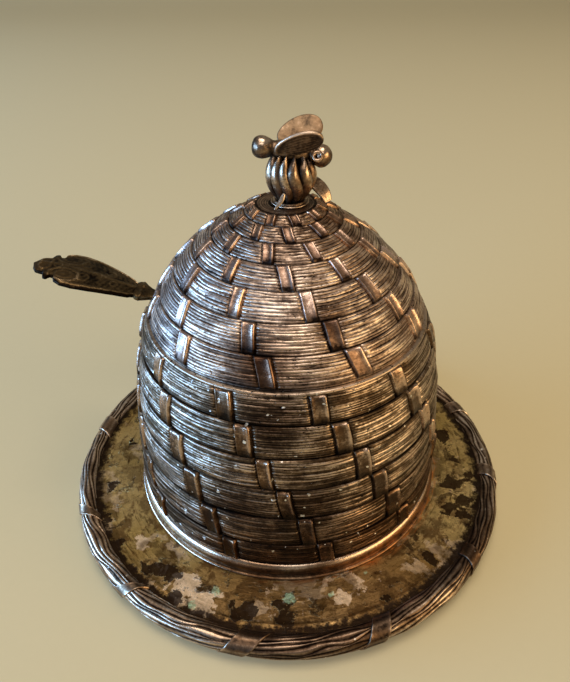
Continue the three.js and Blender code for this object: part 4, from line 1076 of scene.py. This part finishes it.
# Lid
# The top of the hive, made as the body is, with seven rows. It is thin, hollow and lifts straight up;
# an arch in its edge lets the spoon out.
LID_OUTLINE = [(SEAM_RADIUS, SEAM), (34.6, 90.1), (27.1, 96.7), (8.4, 107.6)]
LID_WALL = 1.4
LID_ROWS = [0.012, 0.186, 0.357, 0.531, 0.682, 0.811, 0.917, 0.995]
LID_STRAWS = [10, 10, 9, 8, 7, 6, 4]
LID_SWELLS = [0.42, 0.26, 0.22, 0.22, 0.20, 0.18, 0.16]
LID_STRAPS = 10
LID_STRAP_TURN = -8.0
LID_STRAP_STEP = 5.3
LID_STRAP_WIDTHS = [0.88, 0.74, 0.70, 0.62, 0.56, 0.52, 0.48]
# The lid's lower edge from inside to outside: millimetres out from the wall's line, the height over that
# line within the arch, and the height of the rest
LID_EDGE = np.array([(-0.9, -0.05, 74.2), (-0.2, -0.15, 74.15), (0.25, 0.15, 74.3)])
ARCH_RADIUS = 42.0
ARCH_HALF = 3.9
ARCH_RISE = 0.47
CROWN_HEIGHT = 107.60
CROWN_RADIUS = 8.15
CROWN_HOLLOW = 4.80
CROWN_RINGS = 5
CROWN_RELIEF = 0.11


def spoon_arch(azimuth):
    """How far up the lowest row the arch for the spoon reaches: a half oval with full shoulders."""
    away = ((azimuth - SPOON_TURN + np.pi) % (2 * np.pi) - np.pi) * ARCH_RADIUS
    return ARCH_RISE * np.sqrt(np.clip(1 - (away / ARCH_HALF) ** 4, 0, 1))


def lid_shell():
    """The lid's closed wall: a smooth wall down inside, an edge with the arch, coiled straw up outside,
    and a crown with fine rings."""
    at, length = bent(LID_OUTLINE)
    r, z, azimuth, crest, strap, share = coil(
        at, LID_ROWS, LID_STRAWS, LID_STRAPS, 24, LID_STRAP_TURN, LID_STRAP_STEP, seed=501,
        swells=LID_SWELLS, widths=LID_STRAP_WIDTHS, shade=0.35, arch=spoon_arch,
    )
    lift = spoon_arch(azimuth[:1]) * (LID_ROWS[1] - LID_ROWS[0])
    low = LID_ROWS[0] + lift
    wall_r, wall_z, out_r, out_z = at(low + (1 - low) * np.linspace(1, 0, 16)[:, None])
    wall_r, wall_z = wall_r - LID_WALL * out_r, wall_z - LID_WALL * out_z
    out, over, level = LID_EDGE.T[..., None]
    foot_r, foot_z, out_r, _ = at(low)
    edge_z = np.where(lift > 0, foot_z + over, level)
    below = len(wall_r) + len(LID_EDGE)
    down = np.linspace(0, 1, 26)[:, None]
    crown_r = CROWN_RADIUS + (CROWN_HOLLOW - CROWN_RADIUS) * down
    crown_up = CROWN_RELIEF * np.abs(np.sin(CROWN_RINGS * np.pi * down)) ** 0.7
    shine = np.where(np.arange(below) < len(wall_r), 0.15, 0.6)[:, None]
    grid = wound(
        stacked(wall_r, foot_r + out * out_r, r, crown_r),
        stacked(wall_z, edge_z, z, CROWN_HEIGHT + crown_up),
        np.vstack([
            np.repeat(azimuth[:1], below, axis=0), azimuth, np.repeat(azimuth[-1:], len(down), axis=0),
        ]),
    )
    crown_share = share[-1] + (8.6 - crown_r) / length
    return surface(
        "lid_shell_straw", grid, poles=((0, 0, wall_z[0].mean()), (0, 0, CROWN_HEIGHT + 0.05)),
        crest=stacked(shine, crest, 0.12 + 6.0 * crown_up),
        strap=stacked(0 * shine, strap, 0 * down),
        rise=length * np.vstack([np.repeat(share[:1], below, axis=0), share, crown_share]),
    )


lid_silver = aged_silver(
    "lid_silver", (0.012, 0.007, 0.005), (0.265, 0.195, 0.152), (0.84, 0.71, 0.61), rough=(0.56, 0.37),
    # The lid is darker towards its top
    straw=True, height_darkening=(0.1075, 0.096, (0.60, 0.50, 0.40)),
    # Round patches at the front paint a dark, uneven reflection
    smudges_and_shade=[(-7, -41, 78, 17), (-10, -40, 84, 10), (12, -33, 90, 8)],
)
dressed(lid_shell(), lid_silver, "lid", "lid_silver", "lid_shell")

# Bezel
# A thin silver ring inside the lid's edge, which drops into the mouth and is open where the spoon passes.
BEZEL_RADIUS = 40.0
BEZEL_WALL = 1.2
BEZEL_LOW = 71.0
BEZEL_HIGH = 75.0
BEZEL_OPENING = math.radians(7.2)


def bezel_ring():
    """A thin upright band round the axis with rounded edges, from one side of its opening to the other."""
    azimuth = SPOON_TURN + np.linspace(BEZEL_OPENING, 2 * np.pi - BEZEL_OPENING, 240)
    path = wound(BEZEL_RADIUS - BEZEL_WALL / 2, (BEZEL_LOW + BEZEL_HIGH) / 2, azimuth)
    half = np.full(len(azimuth), (BEZEL_HIGH - BEZEL_LOW) / 2)
    face = np.tile(roundness(across_face(13)) ** 0.3 * BEZEL_WALL / 2, (len(azimuth), 1))
    grid = plank(path, half, face, -face, UP)
    return surface("bezel_ring", grid, poles=(path[0], path[-1]), crest=0.35)


dressed(bezel_ring(), bright_silver, "lid", "bright_silver", "lid_bezel")

# Finial seat and fixings
# A small dished disc under the blossom. A stud through the crown, a washer and a nut hold it from inside.
FINIAL_X = 1.2
SEAT_LOW = 107.92
SEAT_TOP = 108.6
SEAT_SHINE = [(3.8, 0.1), (4.5, 0.9), (4.9, 0.3), (5.4, 0.9)]
STUD_RADIUS = 1.42
STUD_LOW = 101.2
STUD_TOP = 112.4
THREAD_PITCH = 0.8
THREAD_DEPTH = 0.07
THREAD_RINGS = 112
THREAD_STEP = 0.1
WASHER_BORE = 1.8
WASHER_RADIUS = 4.2
WASHER_LOW = 105.1
WASHER_TOP = 105.9
NUT_CORNER = 3.2
NUT_LOW = 102.4


def on_finial(profile, columns=64):
    """A turned shape whose axis is the finial's."""
    return turned(profile, columns) + np.array([FINIAL_X, 0, 0])


def nut_grid(columns=72):
    """A nut: its profile holds shares of the distance to the six flats, and its bore is round."""
    azimuth = full_turn(columns)
    sixth = np.pi / 3
    flat = NUT_CORNER * math.cos(sixth / 2) / np.cos((azimuth + sixth / 2) % sixth - sixth / 2)
    profile = rounded([
        (0.5, 0.0), (0.94, 0.0), (1.0, 0.25), (1.0, 2.15), (0.94, 2.4), (0.5, 2.4), (0.5, 0.0),
    ])
    share, up = profile[:-1, :1], profile[:-1, 1:]
    r = np.where(share < 0.501, WASHER_BORE, share * flat)
    return wound(r, NUT_LOW + up, azimuth) + np.array([FINIAL_X, 0, 0])


bronze = aged_silver(
    "finial_bronze", (0.018, 0.010, 0.006), (0.19, 0.128, 0.085), (0.76, 0.60, 0.46), rough=(0.42, 0.23),
)
worn_bronze = aged_silver(
    "worn_bronze", (0.030, 0.017, 0.008), (0.24, 0.155, 0.085), (0.82, 0.62, 0.46), rough=(0.46, 0.34),
    metal=0.75,
)
seat_outside = rounded([
    (0.5, SEAT_LOW), (5.1, SEAT_LOW), (5.5, 108.2), (5.2, 108.5), (4.6, 108.5), (4.8, 108.8),
    (4.4, 109.0), (3.8, 108.7), (0.5, SEAT_TOP),
])
seat = surface(
    "seat_disc", on_finial(seat_outside, 120), poles=((FINIAL_X, 0, SEAT_LOW), (FINIAL_X, 0, SEAT_TOP)),
    crest=np.interp(seat_outside[:, :1], *np.array(SEAT_SHINE).T),
)
dressed(seat, bronze, "lid", "finial_bronze", "finial_seat")
thread_up = THREAD_STEP * np.arange(THREAD_RINGS)
thread_out = STUD_RADIUS + THREAD_DEPTH * np.sin(2 * np.pi * thread_up / THREAD_PITCH)
stud = surface(
    "stud", on_finial(np.stack([thread_out, STUD_LOW + THREAD_STEP + thread_up], -1), 40),
    poles=((FINIAL_X, 0, STUD_LOW), (FINIAL_X, 0, STUD_TOP)), crest=0.4,
)
dressed(stud, bright_silver, "lid", "bright_silver", "finial_stud")
washer_outside = rounded([
    (WASHER_BORE, WASHER_LOW), (WASHER_RADIUS, WASHER_LOW), (WASHER_RADIUS, WASHER_TOP),
    (WASHER_BORE, WASHER_TOP), (WASHER_BORE, WASHER_LOW),
])[:-1]
washer = surface("washer", on_finial(washer_outside), ring=True, crest=0.5)
dressed(washer, bright_silver, "lid", "bright_silver", "finial_washer")
nut = surface("nut", nut_grid(), ring=True, crest=0.5)
dressed(nut, bright_silver, "lid", "bright_silver", "finial_nut")

# Blossom
# A cast bud of long folded petals that stand close together and open a little at the top. A leaf
# arches down from it at the right, and a short sprig lies at its foot in front.
BLOSSOM_FOOT = 108.85
CORE_LOW = 109.0
CORE_TOP = 119.6
# Each petal's azimuth, lean, height, half width, fold and sway
PETALS = [
    (-152, 3.3, 11.8, 2.5, 0.8, 0), (-108, 3.3, 12.0, 2.4, 0.8, 0), (-72, 3.4, 11.9, 2.0, 0.8, 0.2),
    (-42, 3.1, 12.4, 1.8, 0.8, -0.2), (-12, 3.1, 12.9, 1.7, 0.9, -0.5), (17, 3.5, 12.6, 1.9, 0.8, -0.9),
    (48, 3.9, 12.2, 2.0, 0.9, -0.9), (80, 3.8, 11.6, 2.3, 0.8, 0), (112, 3.5, 11.4, 2.3, 0.8, 0),
    (146, 3.2, 11.8, 2.4, 0.8, 0), (178, 3.0, 12.0, 2.0, 0.8, 0),
]


def petal(name, azimuth, lean, tall, half, fold, sway, seed):
    """A petal: a strip that bellies outwards, sways from side to side and ends in a blunt tip. Its fold
    raises the middle over the edges."""
    u = np.linspace(0, 1, 44)
    out = 2.1 + lean * np.sin(np.pi * u ** 1.15) ** 0.8 + (lean - 1.6) * 0.75 * u ** 3
    heading = math.radians(azimuth)
    direction = np.array([math.sin(heading), -math.cos(heading), 0])
    side = np.array([direction[1], -direction[0], 0])
    height = BLOSSOM_FOOT + tall * u
    path = np.array([FINIAL_X, 0, 0]) + out[:, None] * direction + height[:, None] * UP
    path = path + sway * np.sin(2 * np.pi * u)[:, None] * side
    width = half * (0.40 + 0.60 * np.sin(np.pi * u ** 0.85) ** 0.8) * np.clip((1 - u) * 7, 0.05, 1) ** 0.5
    share = across_face(25)
    crease = fold * (1 - share ** 2)
    edge = 0.40 * roundness(share) ** 0.5
    wave = 0.16 * np.sin(5 * u + seed)[:, None] * share
    over = (crease + edge + wave) * np.clip(4 * width[:, None], 0.2, 1)
    grid = plank(path, width, over, crease - edge + wave, side)
    ridge = np.clip(0.10 + 0.675 * (1 - np.abs(share) ** 3), 0, 1)
    # Painted shade: each petal is darker towards its foot, among the crowded petals
    ridge = ridge * np.interp(u, [0, 0.25, 0.6, 1], [0.25, 0.6, 1, 1])[:, None]
    crest = np.concatenate([ridge, 0.1 + 0 * ridge[:, -2:0:-1]], axis=1)
    return surface(name, grid, poles=(path[0], path[-1]), crest=crest)


def blade(name, points, steps, half, taper, edge, crease, side, crest):
    """A small leaf along an eased line, with round edges and its rims bent up by a crease. Its half width
    is a sine over the stretch that taper gives as shares of half a wave."""
    path = smooth_line(points, steps)
    share = across_face(21)
    width = half * np.sin(np.pi * np.linspace(*taper, steps)) ** 0.6
    bend = np.tile(crease * np.abs(share) ** 1.5, (steps, 1))
    thick = edge * roundness(share) ** 0.6
    grid = plank(path, width, bend + thick, bend - thick, np.array(side))
    return surface(name, grid, poles=(path[0], path[-1]), crest=crest)


for number, shape in enumerate(PETALS, start=1):
    dressed(petal(f"petal_{number}", *shape, number), bronze, "lid", "finial_bronze", "finial_blossom")
core_outside = rounded([
    (0.3, CORE_LOW), (3.0, CORE_LOW), (4.1, 112.0), (4.3, 116.0), (3.8, 119.2), (0.3, CORE_TOP),
], 3)
core = surface(
    "bud_core", on_finial(core_outside), poles=((FINIAL_X, 0, CORE_LOW), (FINIAL_X, 0, CORE_TOP)),
    crest=0.05,
)
dressed(core, bronze, "lid", "finial_bronze", "finial_blossom")
arched_leaf = blade(
    "arched_leaf", [(4.6, 1.2, 113.7), (7.6, 0.5, 113.2), (10.2, -0.6, 111.1), (11.6, -1.6, 108.4)], 50,
    half=2.1, taper=(0.14, 0.86), edge=0.75, crease=0.35, side=(0.75, 0.75, 0.25), crest=0.8,
)
dressed(arched_leaf, bronze, "lid", "finial_bronze", "blossom_leaf")
# The sprig's crest is set near full: a painted highlight along the thin sliver
sprig = blade(
    "sprig", [(-0.4, -7.2, 113.1), (-1.3, -8.0, 111.3), (-2.9, -8.6, 109.3)], 40,
    half=0.62, taper=(0.16, 0.96), edge=0.42, crease=0.0, side=(1.0, -0.3, 0.0), crest=0.95,
)
dressed(sprig, bronze, "lid", "finial_bronze", "blossom_sprig")

# Bee
# A plump cast bee that lies across the bud, nose to the left and a little up: round head, long body,
# ringed waist, round tail, and two thick oval wings folded up over its back.
BEE_MIDDLE = 122.2
BEE_TILT = math.radians(9)
# Along the bee from its nose to its tail, and the radius there
BEE_OUTLINE = [
    (-10.2, 0.9), (-9.8, 2.0), (-8.8, 2.8), (-7.3, 3.0), (-5.8, 2.6), (-4.9, 2.2), (-4.2, 2.2),
    (-3.0, 2.6), (-1.0, 2.8), (1.5, 2.8), (3.4, 2.5), (4.6, 2.0), (5.1, 1.8), (5.5, 2.2), (6.0, 2.2),
    (6.3, 1.8), (6.7, 2.0), (7.3, 2.7), (8.6, 3.1), (10.0, 2.7), (11.1, 1.6), (11.5, 0.7),
]
BEE_ENDS = np.array([-10.3, 11.6])
WING_LENGTH = 6.6
# Each wing's name, side, foot along the bee, half width, rise and sweep in degrees, and node
WINGS = [
    ("front_wing", -1, 2.3, 3.5, 64, 22, "wing_front"),
    ("back_wing", 1, 2.8, 4.1, 49, 24, "wing_rear"),
]
LEG_PLACE = np.array([8.5, -2.9, 121.7])
LEG_RING = 1.1
LEG_THICK = 0.5
LEG_TILT = math.radians(35)


def on_bee(x, y, z):
    """Points measured along the bee's own axis, tilted nose up and set on the finial."""
    c, s = math.cos(BEE_TILT), math.sin(BEE_TILT)
    return np.stack([FINIAL_X + c * x + s * z, y + 0 * x, BEE_MIDDLE - s * x + c * z], -1)


def bee_body():
    """The outline turned round the bee's own axis, with fine waves of fur on the thorax."""
    line = smooth_line(BEE_OUTLINE, 150)
    along, radius = line[:, :1], line[:, 1:]
    spin = full_turn(72)
    r = radius + 0.10 * np.sin(9 * spin + 0.8 * along) * bump_at(along - 0.5, 3.0)
    grid = on_bee(along + 0 * spin, r * np.cos(spin), r * np.sin(spin))
    crest = np.interp(r, [1.6, 2.7], [0.2, 0.8]) * np.interp(along, [-5.5, -2.0], [0.95, 0.9])
    # Painted shade: the underside of the bee is darker and its top lighter
    crest = crest * np.interp(np.sin(spin), [-0.6, 0.5], [0.3, 1.0])
    return surface("bee", grid, poles=tuple(on_bee(BEE_ENDS, np.zeros(2), np.zeros(2))), crest=crest)


def bee_wing(name, side, foot, wide, rise, sweep):
    """A thick oval wing that leans out to one side, with a raised rim round a shallow hollow on each face.
    The outer hollow is the deeper one, and has fine ribs and a worn rim that is brighter along its upper
    edge as a painted highlight. The rear wing's ribs are wear only."""
    u = np.linspace(-0.985, 0.985, 60)
    oval = np.sqrt(1 - u ** 2)
    half = wide * oval ** 0.9 * (1 + 0.08 * u)
    share = across_face(41)
    depth = np.clip(1 - np.hypot(u[:, None], share * oval[:, None] + 0.10) ** 6, 0, 1)
    edge = 0.62 * roundness(share) ** 0.5
    ribs = np.sin(26 * share + 2.5 * u[:, None]) * depth
    over = edge - 0.42 * depth + 0.05 * ribs if side < 0 else edge - 0.12 * depth
    turn, lean = math.radians(sweep), math.radians(rise)
    middle = np.array([FINIAL_X + foot, side * 3.4, BEE_MIDDLE - 0.2])
    reach = np.hypot(WING_LENGTH * math.sin(turn), wide * math.cos(turn))
    upward = np.array([0, side * math.cos(lean), math.sin(lean)])
    ahead = np.array([1.0, 0, 0])
    length_way = math.cos(turn) * ahead + math.sin(turn) * upward
    width_way = -math.sin(turn) * ahead + math.cos(turn) * upward
    path = middle + reach * upward + u[:, None] * WING_LENGTH * length_way
    grid = plank(path, half, over, -edge + 0.25 * depth, width_way)
    # Painted highlight: the rim is brighter along its upper edge
    rim = (0.65 + 0.35 * share) * np.clip(1.0 - 1.4 * depth, 0, 1)
    hollow = np.clip(rim, 0.16, 1) + 0.2 * np.maximum(ribs, 0)
    plain = 0.45 + 0 * depth
    top, low = (hollow, plain) if side < 0 else (plain, hollow)
    crest = np.concatenate([top, low[:, -2:0:-1]], axis=1)
    return surface(name, grid, poles=(path[0], path[-1]), crest=crest)


def curled_leg():
    """A small tilted ring at the tail: a round wire turned round its own axis."""
    spin = full_turn(48)
    section = full_turn(16)[:, None]
    out = LEG_RING + LEG_THICK * np.cos(section)
    x, y, z = out * np.sin(spin), -LEG_THICK * np.sin(section) + 0 * spin, -out * np.cos(spin)
    c, s = math.cos(LEG_TILT), math.sin(LEG_TILT)
    grid = np.stack([x, y * c + z * s, z * c - y * s], -1) + LEG_PLACE
    return surface("curled_leg", grid, ring=True, crest=0.6)


dressed(bee_body(), bronze, "lid", "finial_bronze", "bee_body")
for name, *shape, node in WINGS:
    dressed(bee_wing(name, *shape), worn_bronze, "lid", "finial_bronze", node)
dressed(curled_leg(), bronze, "lid", "finial_bronze", "bee_body")
